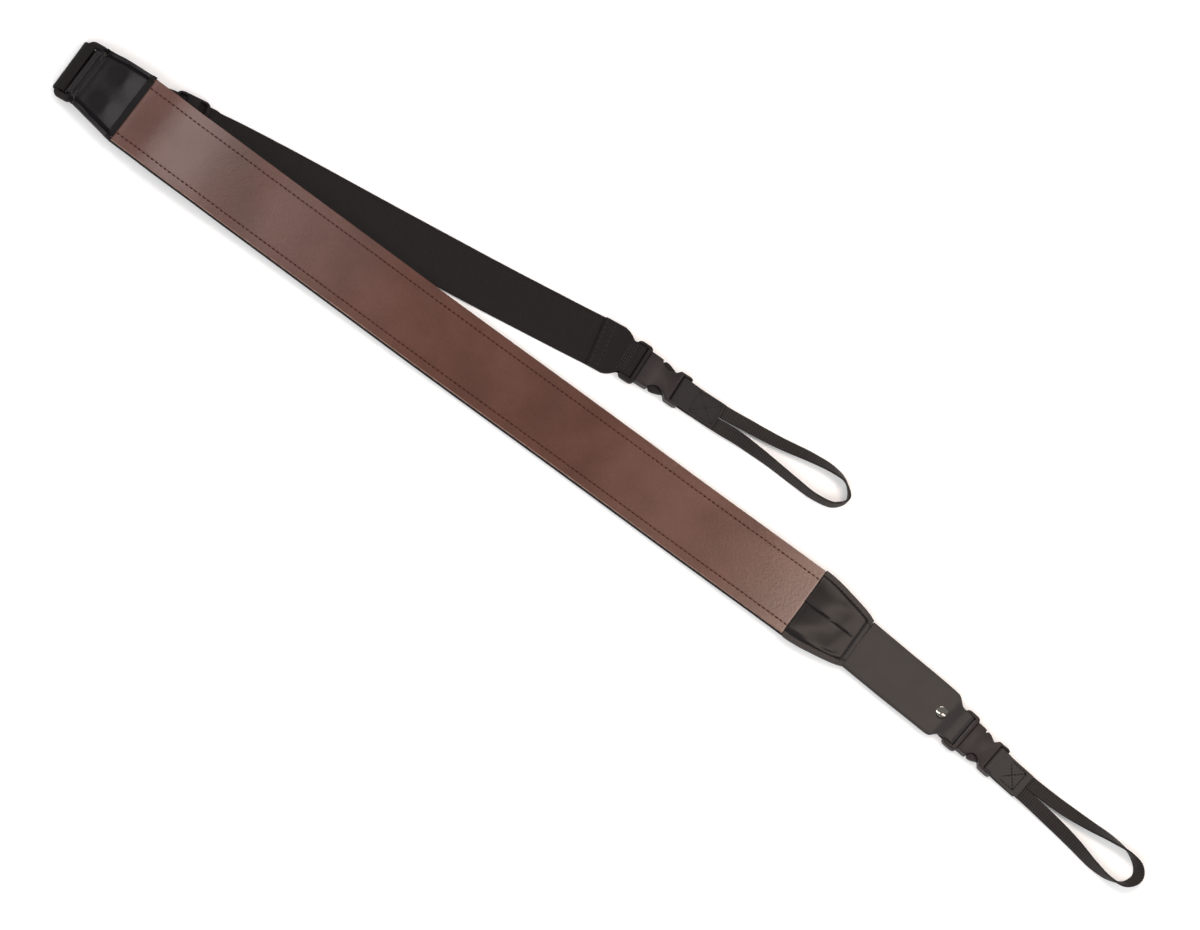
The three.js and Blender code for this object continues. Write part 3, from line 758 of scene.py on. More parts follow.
@dataclass(frozen=True)
class RawEdgeWithPaintedHighlight(Finish):
    """The cut edge of the hide: pale fibres, a little darker where the dye has soaked in, paler as a painted
    highlight.
    """

    dark: str = "#6a4b41"
    light: str = "#a3887b"
    fibre_mm: float = 0.6
    roughness: float = 0.75

    def shade(self, tree: bpy.types.NodeTree) -> Tuple[dict, dict]:
        """Fibres that run along the edge.

        Args:
            tree: the material's node tree.

        Returns:
            The shader's values and the sockets that feed it, by input name.
        """
        place = add_node(tree, "ShaderNodeTexCoord").outputs["Object"]
        drawn = add_node(tree, "ShaderNodeMapping", {"Scale": (0.15, 1, 1)}, {"Vector": place}).outputs[0]
        fibres = add_node(tree, "ShaderNodeTexNoise", {"Scale": 1 / (self.fibre_mm * MM), "Detail": 4},
                          {"Vector": drawn})
        tone = add_node(tree, "ShaderNodeValToRGB", {"stops": ((0.3, self.dark), (0.72, self.light))},
                        {"Fac": fibres.outputs[0]})
        bump = add_node(tree, "ShaderNodeBump", {"Strength": 0.5, "Distance": 0.15 * MM},
                        {"Height": fibres.outputs[0]})
        values = {"Roughness": self.roughness, "IOR": 1.45}
        return values, {"Base Color": tone.outputs["Color"], "Normal": bump.outputs[0]}


@dataclass(frozen=True)
class BrushedNylonBacking(Finish):
    """Brushed nylon over foam: dull black with a short nap that catches grey light."""

    dark: str = "#0e0d0d"
    light: str = "#1f1d1d"
    nap_mm: float = 0.8
    cloud_mm: float = 30
    roughness: float = 0.9

    def shade(self, tree: bpy.types.NodeTree) -> Tuple[dict, dict]:
        """A fine nap over slow cloudy patches.

        Args:
            tree: the material's node tree.

        Returns:
            The shader's values and the sockets that feed it, by input name.
        """
        place = add_node(tree, "ShaderNodeTexCoord").outputs["Object"]
        nap = add_node(tree, "ShaderNodeTexNoise", {"Scale": 1 / (self.nap_mm * MM), "Detail": 4},
                       {"Vector": place})
        cloud = add_node(tree, "ShaderNodeTexNoise", {"Scale": 1 / (self.cloud_mm * MM), "Detail": 3},
                         {"Vector": place})
        both = add_node(tree, "ShaderNodeMath", {"operation": "MULTIPLY"},
                        {0: nap.outputs[0], 1: cloud.outputs[0]})
        tone = add_node(tree, "ShaderNodeValToRGB", {"stops": ((0.12, self.dark), (0.42, self.light))},
                        {"Fac": both.outputs[0]})
        bump = add_node(tree, "ShaderNodeBump", {"Strength": 0.5, "Distance": 0.2 * MM},
                        {"Height": nap.outputs[0]})
        values = {"Roughness": self.roughness, "IOR": 1.5}
        return values, {"Base Color": tone.outputs["Color"], "Normal": bump.outputs[0]}


@dataclass(frozen=True)
class PolishedNickel(Finish):
    """Nickel plate on a pressed cap: bright, with the faint smears of the polishing mop."""

    colour: str = "#c9c4bd"
    smear_mm: float = 1.5

    def shade(self, tree: bpy.types.NodeTree) -> Tuple[dict, dict]:
        """A mirror shine with fine smears.

        Args:
            tree: the material's node tree.

        Returns:
            The shader's values and the sockets that feed it, by input name.
        """
        place = add_node(tree, "ShaderNodeTexCoord").outputs["Object"]
        smear = add_node(tree, "ShaderNodeTexNoise", {"Scale": 1 / (self.smear_mm * MM), "Detail": 4},
                         {"Vector": place})
        shine = add_node(tree, "ShaderNodeMapRange", {"To Min": 0.08, "To Max": 0.2},
                         {"Value": smear.outputs[0]})
        values = {"Base Color": linear(self.colour), "Metallic": 1.0}
        return values, {"Roughness": shine.outputs[0]}


@dataclass(frozen=True)
class PaintedBoard(Finish):
    """Matt white board for the floor, lit a little from within so that it stays white at its edges."""

    dark: str = "#f8f8f8"
    light: str = "#fbfbfb"
    cloud_mm: float = 500
    roughness: float = 0.9
    specular: float = 0.1
    glow: float = 0.14

    def shade(self, tree: bpy.types.NodeTree) -> Tuple[dict, dict]:
        """An almost even white.

        Args:
            tree: the material's node tree.

        Returns:
            The shader's values and the sockets that feed it, by input name.
        """
        place = add_node(tree, "ShaderNodeTexCoord").outputs["Object"]
        cloud = add_node(tree, "ShaderNodeTexNoise", {"Scale": 1 / (self.cloud_mm * MM), "Detail": 2},
                         {"Vector": place})
        tone = add_node(tree, "ShaderNodeValToRGB", {"stops": ((0.3, self.dark), (0.7, self.light))},
                        {"Fac": cloud.outputs[0]})
        values = {"Roughness": self.roughness, "Specular IOR Level": self.specular,
                  "Emission Color": linear("#ffffff"), "Emission Strength": self.glow}
        return values, {"Base Color": tone.outputs["Color"]}


BROWN_HIDE = GlazedLeather("glazed_brown_leather")
# Pale fibres, made paler still as a painted highlight along the cut edge
BROWN_EDGE_AND_HIGHLIGHT = RawEdgeWithPaintedHighlight("cut_leather_edge_and_painted_highlight")
CAP_HIDE = BlackLeather("black_cap_leather", specular=0.175)
WORN_CAP_HIDE = BlackLeather("worn_cap_leather", dark="#191717", light="#211f1f",
                             roughness=0.24, specular=0.125)
# Matt and darker than the caps: their black edge at the mouth, with painted shade of the gap there
MOUTH_STRIP_AND_SHADE = BlackLeather("matt_mouth_strip_and_painted_shade", dark="#080707", light="#120f0f",
                          roughness=0.6, specular=0.25)
TAB_HIDE = BlackLeather("charcoal_tab_leather", dark="#252222", light="#2c2929",
                        grain_depth_mm=0.02, roughness=0.44, specular=0.24)
BACKING = BrushedNylonBacking("brushed_nylon_backing")
STRAP_WEBBING = WovenWebbing("woven_polypropylene_webbing")
LOOP_NYLON = WovenWebbing("ribbed_nylon_loop", dark="#141211", light="#332e2c",
                          along_mm=2.5, warp_share=0.1)
TAB_NYLON = WovenWebbing("plain_nylon_tab", dark="#1d1b1b", light="#2b2828",
                         across_mm=1.3, along_mm=1.3, warp_share=0.6, depth_mm=0.1)
WORN_TAB_NYLON = WovenWebbing("worn_nylon_tab", dark="#2a2726", light="#3d3a38",
                              across_mm=1.3, along_mm=1.3, warp_share=0.6, depth_mm=0.1)
ACETAL = MouldedPlastic("moulded_acetal")
MATT_ACETAL = MouldedPlastic("matt_moulded_acetal", dark="#211e1d", light="#2b2827",
                             roughness=0.62, specular=0.09)
BROWN_THREAD = BondedThread("red_brown_thread")
BLACK_THREAD = BondedThread("black_thread", dark="#0b0a0a", light="#1d1b1b")
# Grey stands in for light caught on black thread: a painted highlight
PAINTED_HIGHLIGHT_THREAD = BondedThread("grey_thread_painted_highlight", dark="#242121", light="#403b3b")
NICKEL = PolishedNickel("polished_nickel")
BOARD = PaintedBoard("matt_white_board")


def settle(piece: bpy.types.Object, nodes: Sequence[str] = ()) -> None:
    """Ties a finished piece to the frame and reports it.

    Args:
        piece: the finished object.
        nodes: the solids that it stands for.
    """
    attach(piece, "root")
    if nodes:
        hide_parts(*nodes)
    log.info("%s: %d faces", piece.name, len(piece.data.polygons))


# The pad's underside by x: it rides over the slide and the folds below it, and lies flat further on
PAD_LIFT = column(((-24, 5.8), (2, 6.4), (24, 8.6), (36, 9), (46, 9), (120, 5.4), (243, 2.2),
                   (318, 0), (455, 0), (572, 1.8), (600, 1.8)), 1)
# How far its middle line bows to the side by x
PAD_LINE = column(((0, 0.1), (44, -1.5), (76, -1.2), (124, -0.5), (190, -0.1), (244, 0.1),
                   (320, 1.0), (400, 1.2), (480, 1.0), (575.5, 0.7)), 1)


@dataclass
class ShoulderPad:
    """The long pad: brown leather sewn on a padded backing."""

    length: float = 575.5
    rows: int = 231
    leather_half: float = 27.7
    leather_thick: float = 2.0
    leather_round: float = 0.35
    crown_rise: float = 0.2
    crown_room: float = 0.3
    back_half: float = 28.3
    back_thick: float = 4.0
    back_rise: float = 0.2
    seam: float = 20.5
    seam_shift: float = -0.8
    furrow: Pair = (0.12, 0.6)
    under_furrow: Pair = (0.45, 0.9)
    stitch_pitch: float = 3.7
    stitch_length: float = 2.3
    stitch_thick: float = 0.95
    stitch_rise: float = 0.05
    # Where the leather's columns lie: in from its edge, out from each seam, and out from the middle
    edge_columns: Tuple[float, ...] = (0, 0.3, 0.8, 1.8, 3.4)
    seam_columns: Tuple[float, ...] = (2.3, 1.4, 0.8, 0.4, 0, -0.4, -0.8, -1.4, -2.3)
    middle_columns: Tuple[float, ...] = (16, 12, 8, 4)
    back_columns: Tuple[float, ...] = (24, 22, 21, 20.5, 20, 19, 15, 10, 5)

    def middle(self, x: np.ndarray) -> np.ndarray:
        """The height of the leather's middle surface at its seams' level."""
        return PAD_LIFT(x) + self.back_thick + GAP + self.leather_thick / 2

    def crown(self, y: np.ndarray) -> np.ndarray:
        """How far the leather falls from its highest line across the pad, with the two sewn furrows.

        Args:
            y: the distance from the pad's middle line.

        Returns:
            The height, zero or less.
        """
        depth, width = self.furrow
        sewn = bell(np.abs(y - self.seam_shift), self.seam, width)
        return -self.crown_rise * (y / self.leather_half) ** 2 - depth * sewn

    def build_face(self) -> None:
        """Makes the brown leather, with its cut edge in a finish of its own."""
        x = np.linspace(0, self.length, self.rows)[:, None]
        rim = [self.leather_half - inset for inset in self.edge_columns]
        sewn = [self.seam + off for off in self.seam_columns] + list(self.middle_columns)
        inner = [self.seam_shift - v for v in sewn] + [0] + [self.seam_shift + v for v in sewn[::-1]]
        y = np.array([-v for v in rim] + inner + rim[::-1], float)
        places = spread(x, y + PAD_LINE(x), self.middle(x) + self.crown(y))
        piece = sheet("pad_leather", places, spread(x, y + FLAT_MIDDLE))
        BROWN_HIDE.dress(piece)
        # The cut edge's finish is pale, and paler still as a painted highlight
        piece.data.materials.append(BROWN_EDGE_AND_HIGHLIGHT.material())
        thick = self.leather_thick - self.crown_room
        modify(piece, "SOLIDIFY", thickness=thick * MM, offset=0, material_offset_rim=1)
        round_edges(piece, self.leather_round)
        settle(piece, ("pad_face",))

    def build_back(self) -> None:
        """Makes the padded backing: a slab with full round sides, drawn in under the seams."""
        x = np.linspace(-GAP, self.length + GAP, self.rows)[:, None]
        r = self.back_thick / 2
        bend = np.radians(np.linspace(90, -90, 9))
        right = [(self.back_half - r + r * math.cos(a), r + r * math.sin(a)) for a in bend]
        inner = [*self.back_columns, 0, *[-y for y in self.back_columns[::-1]]]
        depth, width = self.under_furrow
        under = [(y + self.seam_shift, depth * bell(abs(y), self.seam, width)) for y in inner]
        left = [(-y, z) for y, z in right[::-1]]
        over = [(y, self.back_thick + self.back_rise) for y in inner[::-1]]
        ring = np.array(right + under + left + over + right[:1])
        y, z = ring.T
        places = spread(x, y + PAD_LINE(x), PAD_LIFT(x) + z)
        piece = sheet("pad_backing", places, spread(x, lengths(ring)))
        with editing(piece):
            bpy.ops.mesh.remove_doubles(threshold=MERGE)
            bpy.ops.mesh.fill_holes(sides=0)
            bpy.ops.mesh.select_all(action="SELECT")
            bpy.ops.mesh.normals_make_consistent(inside=False)
        soften(piece)
        BACKING.dress(piece)
        settle(piece, ("pad_back",))

    def build_stitches(self) -> None:
        """Sews the leather to its backing along both edges."""
        x = np.linspace(1, self.length - 1, 300)
        face = self.middle(x) + (self.leather_thick - self.crown_room) / 2
        height = face + self.crown(self.seam + self.seam_shift) + self.stitch_rise
        line = PAD_LINE(x) + self.seam_shift
        runs = [(spread(x, side * self.seam + line, height), UP) for side in (-1, 1)]
        piece = sew("pad_stitches", runs, self.stitch_pitch, self.stitch_length, self.stitch_thick)
        BROWN_THREAD.dress(piece)
        settle(piece)

    def build(self) -> None:
        """Builds the pad's pieces from the floor up."""
        self.build_back()
        self.build_face()
        self.build_stitches()


@dataclass
class LeatherCap:
    """A cap of two leather layers over an end of the pad, sewn together round its border.

    Its table gives half its width, its underside and its top by x.
    """

    name: str
    table: Rows
    middle: Curve
    border: float
    border_drop: float
    # Where the matt strip round the mouth lies by x, darker as painted shade of the gap at the mouth
    mouth_strip_and_shade: Pair
    stitch_length: float
    stitch_thick: float
    stitch_pitch: float = 3.2
    thick: float = 1.2
    layer_share: float = 0.96
    edge_round: float = 0.25
    # Shares of the border's width: up to where the layers meet, and from where the cap is full
    sewn_to: float = 0.8
    full_from: float = 1.6
    columns: int = 61
    crowding: float = 0.8
    flat_middle: float = 40.0
    hide: BlackLeather = CAP_HIDE
    tail: float = math.inf

    def __post_init__(self) -> None:
        """Makes a curve of each column of the table."""
        self.half = column(self.table, 1)
        self.low = column(self.table, 2)
        self.high = column(self.table, 3)

    def puff(self, x: np.ndarray, inset: np.ndarray) -> np.ndarray:
        """How full the cap is: 0 where its layers meet at the border, 1 where they lie on the pad."""
        return smooth(inset, self.border * self.sewn_to, self.border * self.full_from)

    def relief(self, x: np.ndarray, y: np.ndarray, inset: np.ndarray) -> np.ndarray:
        """Small rises and furrows of the upper layer, in mm.

        Args:
            x: places along the pad.
            y: their distance from the cap's middle line.
            inset: their distance from the cap's side.

        Returns:
            The rise at each place.
        """
        raise NotImplementedError

    def overhang(self, x: np.ndarray) -> np.ndarray:
        """How far the upper layer reaches past the lower one at its sides, in mm."""
        return np.zeros_like(x)

    def heights(self, x: np.ndarray, y: np.ndarray) -> Tuple[np.ndarray, np.ndarray]:
        """The heights of both layers' middle surfaces.

        Args:
            x: places along the pad.
            y: their distance from the cap's middle line.

        Returns:
            The upper layer's heights and the lower layer's.
        """
        inset = self.half(x) - np.abs(y)
        puff = self.puff(x, inset)
        top, bottom = self.high(x) - self.thick / 2, self.low(x) + self.thick / 2
        border = top - self.border_drop
        upper = border + (top - border) * puff + self.relief(x, y, inset)
        lower = border - self.thick + (bottom - border + self.thick) * puff
        return upper, lower

    def layer(self, x: np.ndarray, upper: bool) -> np.ndarray:
        """Points of one layer's middle surface.

        Args:
            x: where its rows lie.
            upper: whether it is the upper layer.

        Returns:
            The points by row and column.
        """
        turn = math.pi / 2 * self.crowding
        across = np.sin(np.linspace(-1, 1, self.columns) * turn) / math.sin(turn)
        y = across * (self.half(x) + (self.overhang(x) if upper else 0))[:, None]
        x = np.broadcast_to(x[:, None], y.shape)
        return spread(x, y + self.middle(x), self.heights(x, y)[0 if upper else 1])

    def flat(self, places: np.ndarray) -> np.ndarray:
        """Where the points lie on the uncut hide."""
        run = lengths(places[:, places.shape[1] // 2])[:, None]
        return spread(run, places[..., 1] + self.flat_middle)

    def finish(self, piece: bpy.types.Object) -> None:
        """Gives the layers their thickness, rounds their edges and dresses them.

        The strip sewn round the mouth is matt and darker: the cap's black edge, with painted shade of the gap
        at the mouth. Past its tail the cap looks like the tab it lies on.

        Args:
            piece: the layers as sheets.
        """
        modify(piece, "SOLIDIFY", thickness=self.thick * self.layer_share * MM, offset=0)
        round_edges(piece, self.edge_round)
        self.hide.dress(piece)
        hides = [self.hide, MOUTH_STRIP_AND_SHADE, TAB_HIDE]
        for hide in hides[1:]:
            piece.data.materials.append(hide.material())
        # The mouth strip's darker matt leather is partly painted shade of the gap at the mouth
        start, end = self.mouth_strip_and_shade
        for face in piece.data.polygons:
            x = face.center.x / MM - PAD_ORIGIN[0]
            hide = MOUTH_STRIP_AND_SHADE if start < x < end else TAB_HIDE if x > self.tail else self.hide
            face.material_index = hides.index(hide)
        settle(piece, (self.name,))

    def on_top(self, x: np.ndarray, y: np.ndarray) -> Run:
        """A line on the upper layer's face, for stitches, with y measured from the cap's middle line."""
        x, y = np.broadcast_arrays(x, y)
        return spread(x, y + self.middle(x), self.heights(x, y)[0] + self.thick / 2), UP

    def sew_rows(self, part: str, runs: Sequence[Run], thread: BondedThread) -> None:
        """Sews rows of the cap's stitches.

        Args:
            part: the rows' name.
            runs: the rows.
            thread: what they are sewn with.
        """
        piece = sew(part, runs, self.stitch_pitch, self.stitch_length, self.stitch_thick)
        thread.dress(piece)
        settle(piece)


@dataclass
class RingCap(LeatherCap):
    """The upper cap: one hide from the pad's face round the ring's near bar and back below."""

    name: str = "ring_cap"
    table: Rows = ((1.2, 28.9, 4, 13.3), (-0.6, 28.8, 3.9, 13.1), (-1.8, 28.6, 3.9, 12.95),
                   (-3.2, 28.4, 3.9, 12.55), (-7, 27.9, 3.9, 12.5), (-16, 26.8, 3.9, 12.3),
                   (-24, 25.8, 4.1, 12.05), (-29, 24.9, 4.4, 11.9), (-33, 24.3, 4.4, 11.8),
                   (-35.4, 23.6, 4.2, 11.7), (-36.6, 21.8, 4, 11.68), (-37.4, 19, 3.9, 11.65),
                   (-40.9, 18.8, 3.9, 11.55), (-42.2, 18.6, 4.2, 10.9), (-43.7, 18.5, 5.4, 9.95),
                   (-44.1, 18.4, 6.7, 8.5))
    middle: Curve = field(default_factory=lambda: Curve((-40, -30, 0), (1.4, 1.4, 0)))
    border: float = 3.2
    border_drop: float = 0.8
    full_from: float = 1.8
    mouth_strip_and_shade: Pair = (-2.4, 5)
    stitch_length: float = 2.2
    stitch_thick: float = 0.6
    lobe: Pair = (-15, 12)
    lobe_size: Pair = (8, 7)
    lobe_rise: float = 0.65
    mouth_row: Pair = (-3.2, 24)
    bar_row: Pair = (-39.7, 16.5)
    shoulder: Rows = ((-41, 18.8), (-40.3, 19.6), (-39.4, 22.6), (-38, 24.2), (-33, 24.3))
    shoulder_droop: float = 1.1
    # Where the shoulders droop, from the middle line and from the pad's end
    droop_across: Pair = (19.5, 24)
    droop_along: Pair = (34, 37)
    # Where the hide gets full from side to side, from the pad's end
    round_bar: Pair = (35.5, 38)
    # Depth and width of a sewn furrow, and where it starts
    bar_furrow: Pair = (0.2, 0.6)
    bar_start: Pair = (0.5, 2)
    border_furrow: Pair = (0.3, 0.5)
    border_start: Pair = (-38, -35)
    turn: float = -44.1
    under_mouth: float = -0.6

    def puff(self, x: np.ndarray, inset: np.ndarray) -> np.ndarray:
        """Flat at the sewn border, full over the pad, and round the bar full from side to side."""
        sewn = super().puff(x, inset)
        return sewn + (1 - sewn) * smooth(-x, *self.round_bar)

    def relief(self, x: np.ndarray, y: np.ndarray, inset: np.ndarray) -> np.ndarray:
        """Two full lobes with a valley between them, the row at the bar, the shoulders and the furrow.

        Args:
            x: places along the pad.
            y: their distance from the cap's middle line.
            inset: their distance from the cap's side.

        Returns:
            The rise at each place.
        """
        lobe_x, lobe_y = self.lobe
        long, wide = self.lobe_size
        lobes = self.lobe_rise * bell(x, lobe_x, long) * (bell(y, lobe_y, wide) + bell(y, -lobe_y, wide))
        depth, width = self.bar_furrow
        row = depth * bell(x, self.bar_row[0], width) * smooth(inset, *self.bar_start)
        droop = self.shoulder_droop * smooth(np.abs(y), *self.droop_across) * smooth(-x, *self.droop_along)
        depth, width = self.border_furrow
        furrow = depth * bell(inset, self.border, width) * smooth(x, *self.border_start)
        return lobes - row - droop - furrow

    def overhang(self, x: np.ndarray) -> np.ndarray:
        """The shoulders that lie over the ring's near corners.

        Args:
            x: places along the pad.

        Returns:
            How far they reach at each place.
        """
        reach = column(self.shoulder, 1)
        over = (x > self.shoulder[0][0]) & (x < self.shoulder[-1][0])
        return np.where(over, np.maximum(reach(x) - self.half(x), 0), 0)

    def build(self) -> None:
        """Builds the cap and its stitches."""
        start, shoulder = self.table[0][0], self.shoulder[-1][0]
        near = shoulder - 0.4
        top = np.concatenate((np.linspace(start, shoulder, 66), np.linspace(near, self.turn, 60)))
        below = np.concatenate((np.linspace(self.turn, near, 40),
                                np.linspace(shoulder, self.under_mouth, 50)))
        places = np.concatenate((self.layer(top, True), self.layer(below, False)))
        self.finish(sheet("ring_cap_leather", places[:, ::-1], self.flat(places)[:, ::-1]))
        rows = ((*self.mouth_row, 60), (*self.bar_row, 40))
        runs = [self.on_top(x, np.linspace(-reach, reach, count)) for x, reach, count in rows]
        self.sew_rows("ring_cap_stitches", runs, BLACK_THREAD)


# The tab's middle line: its y by x
TAB_LINE = column(((600, 1.6), (650, -1.5), (700, -4.8), (708, -5.81), (718, -6.77)), 1)


@dataclass
class TabCap(LeatherCap):
    """The lower cap: two layers that narrow onto the tab, with a seam down the middle."""

    name: str = "tab_cap"
    table: Rows = ((574.6, 29, 0, 9.1), (576.2, 29, 0, 9), (580, 28.9, 0, 8.9), (589, 28, 0, 8.6),
                   (598, 26.4, 0, 8.2), (607, 24.6, 0, 7.7), (616, 22.4, 0.2, 7.1), (621.5, 20.3, 0.6, 6.4))
    middle: Curve = field(default_factory=lambda: Curve((576, 590, 622), (0, 0, float(TAB_LINE(622)))))
    border: float = 4.0
    border_drop: float = 0.5
    mouth_strip_and_shade: Pair = (570, 575.6)
    stitch_length: float = 2.0
    stitch_thick: float = 0.55
    columns: int = 91
    rows: int = 72
    hide: BlackLeather = WORN_CAP_HIDE
    tail: float = 618.2
    under_mouth: float = 576.2
    seam_y: float = 1.0
    seam_row: Pair = (584, 616)
    side_row: Pair = (579, 619)
    end_row: float = 17.0
    # The ridge's x at the cap's side and by its seam, for the half below the seam and the half above it
    low_ridge: Pair = (581, 600)
    high_ridge: Pair = (601, 591)
    # Where each ridge goes from one to the other, across the cap
    low_bend: Pair = (-22, 0)
    high_bend: Pair = (4, 20)
    ridge_rise: float = 0.09
    ridge_reach: float = 14.0
    ridge_round: float = 5.0
    ridge_stop: Pair = (-617.5, -604)
    # How far in from the border each half is full
    walls: Pair = (5, 11)
    # Depth and width of a sewn furrow, and where it starts and stops
    seam_furrow: Pair = (0.3, 0.6)
    seam_start: Pair = (577, 580)
    seam_stop: Pair = (-618, -614)
    end_furrow: Pair = (0.5, 0.6)
    border_furrow: Pair = (0.16, 0.5)
    # How much shallower the border's furrow is above the seam, and over which width it gets so
    shallower: float = 0.08
    shallow_over: Pair = (-2, 2)

    def relief(self, x: np.ndarray, y: np.ndarray, inset: np.ndarray) -> np.ndarray:
        """The sewn furrow, the middle seam, the ridge that each half bulges to, and the end row.

        Args:
            x: places along the pad.
            y: their distance from the cap's middle line.
            inset: their distance from the cap's side.

        Returns:
            The rise at each place.
        """
        depth, width = self.seam_furrow
        seam = depth * bell(y, self.seam_y, width) * smooth(x, *self.seam_start) * smooth(-x, *self.seam_stop)
        (low_side, low_seam), (high_side, high_seam) = self.low_ridge, self.high_ridge
        low = low_side + (low_seam - low_side) * smooth(y, *self.low_bend)
        high = high_seam + (high_side - high_seam) * smooth(y, *self.high_bend)
        ridge = np.where(y < self.seam_y, low, high)
        wall = self.border + np.where(y < 0, *self.walls)
        bulge = self.ridge_rise * (self.ridge_reach - np.hypot(x - ridge, self.ridge_round))
        bulge = bulge * smooth(-x, *self.ridge_stop) * smooth(inset, self.border, wall)
        depth, width = self.end_furrow
        inside = smooth(inset, self.border - width, self.border + width)
        row = depth * bell(x, self.tail, width) * inside
        depth, width = self.border_furrow
        furrow = (depth - self.shallower * smooth(y, *self.shallow_over)) * bell(inset, self.border, width)
        return bulge - seam - row - furrow

    def build(self) -> None:
        """Builds the cap's two layers and its stitches."""
        start, end = self.table[0][0], self.table[-1][0]
        top = self.layer(np.linspace(start, end, self.rows), True)
        below = self.layer(np.linspace(self.under_mouth, end, self.rows), False)
        upper = sheet("upper", top, self.flat(top))
        lower = sheet("lower", below[:, ::-1], self.flat(below)[:, ::-1])
        self.finish(join("tab_cap_leather", [upper, lower]))
        side = np.linspace(*self.side_row, 60)
        edge = self.half(side) - self.border
        end_row = np.linspace(-self.end_row, self.end_row, 40)
        dark = [self.on_top(side, -edge), self.on_top(self.tail, end_row),
                self.on_top(np.linspace(*self.seam_row, 50), self.seam_y)]
        self.sew_rows("tab_cap_seam_stitches", dark, BLACK_THREAD)
        # This side's row is grey as a painted highlight; the same thread on the other side stays black
        self.sew_rows("tab_cap_rim_stitches", [self.on_top(side, edge)], PAINTED_HIGHLIGHT_THREAD)


class End(Enum):
    """The two ends of the strap that carry a buckle and a loop."""

    UPPER = "upper"
    LOWER = "lower"


@dataclass(frozen=True)
class BucklePlace:
    """Where a buckle's joint line lies, where it points, and how far from it its loop's tab reaches."""

    x: float
    y: float
    heading: float
    tab_end: float
    socket_bar: float
    latch_bar: float = -8.0
    height: float = 4.0

    @property
    def way(self) -> Pair:
        """The direction in plan from the latch to the socket."""
        turn = math.radians(self.heading)
        return math.cos(turn), math.sin(turn)

    @property
    def latch_bar_x(self) -> float:
        """Where the bar of the latch lies along the pad."""
        return self.x + self.latch_bar * self.way[0]

    def set_out(self, places: np.ndarray) -> np.ndarray:
        """Turns and moves points from the buckle's own frame to the pad's.

        Args:
            places: points from the buckle's joint line.

        Returns:
            The points on the pad.
        """
        along, over = self.way
        x, y, z = places.T
        return spread(self.x + x * along - y * over, self.y + x * over + y * along, self.height + z)


BUCKLES: Dict[End, BucklePlace] = {
    End.UPPER: BucklePlace(389.4, 71.3, 3.2, tab_end=62.8, socket_bar=30.2),
    End.LOWER: BucklePlace(720.4, -7, -5.5, tab_end=52.4, socket_bar=25.2),
}
BAR_HALF = 1.5


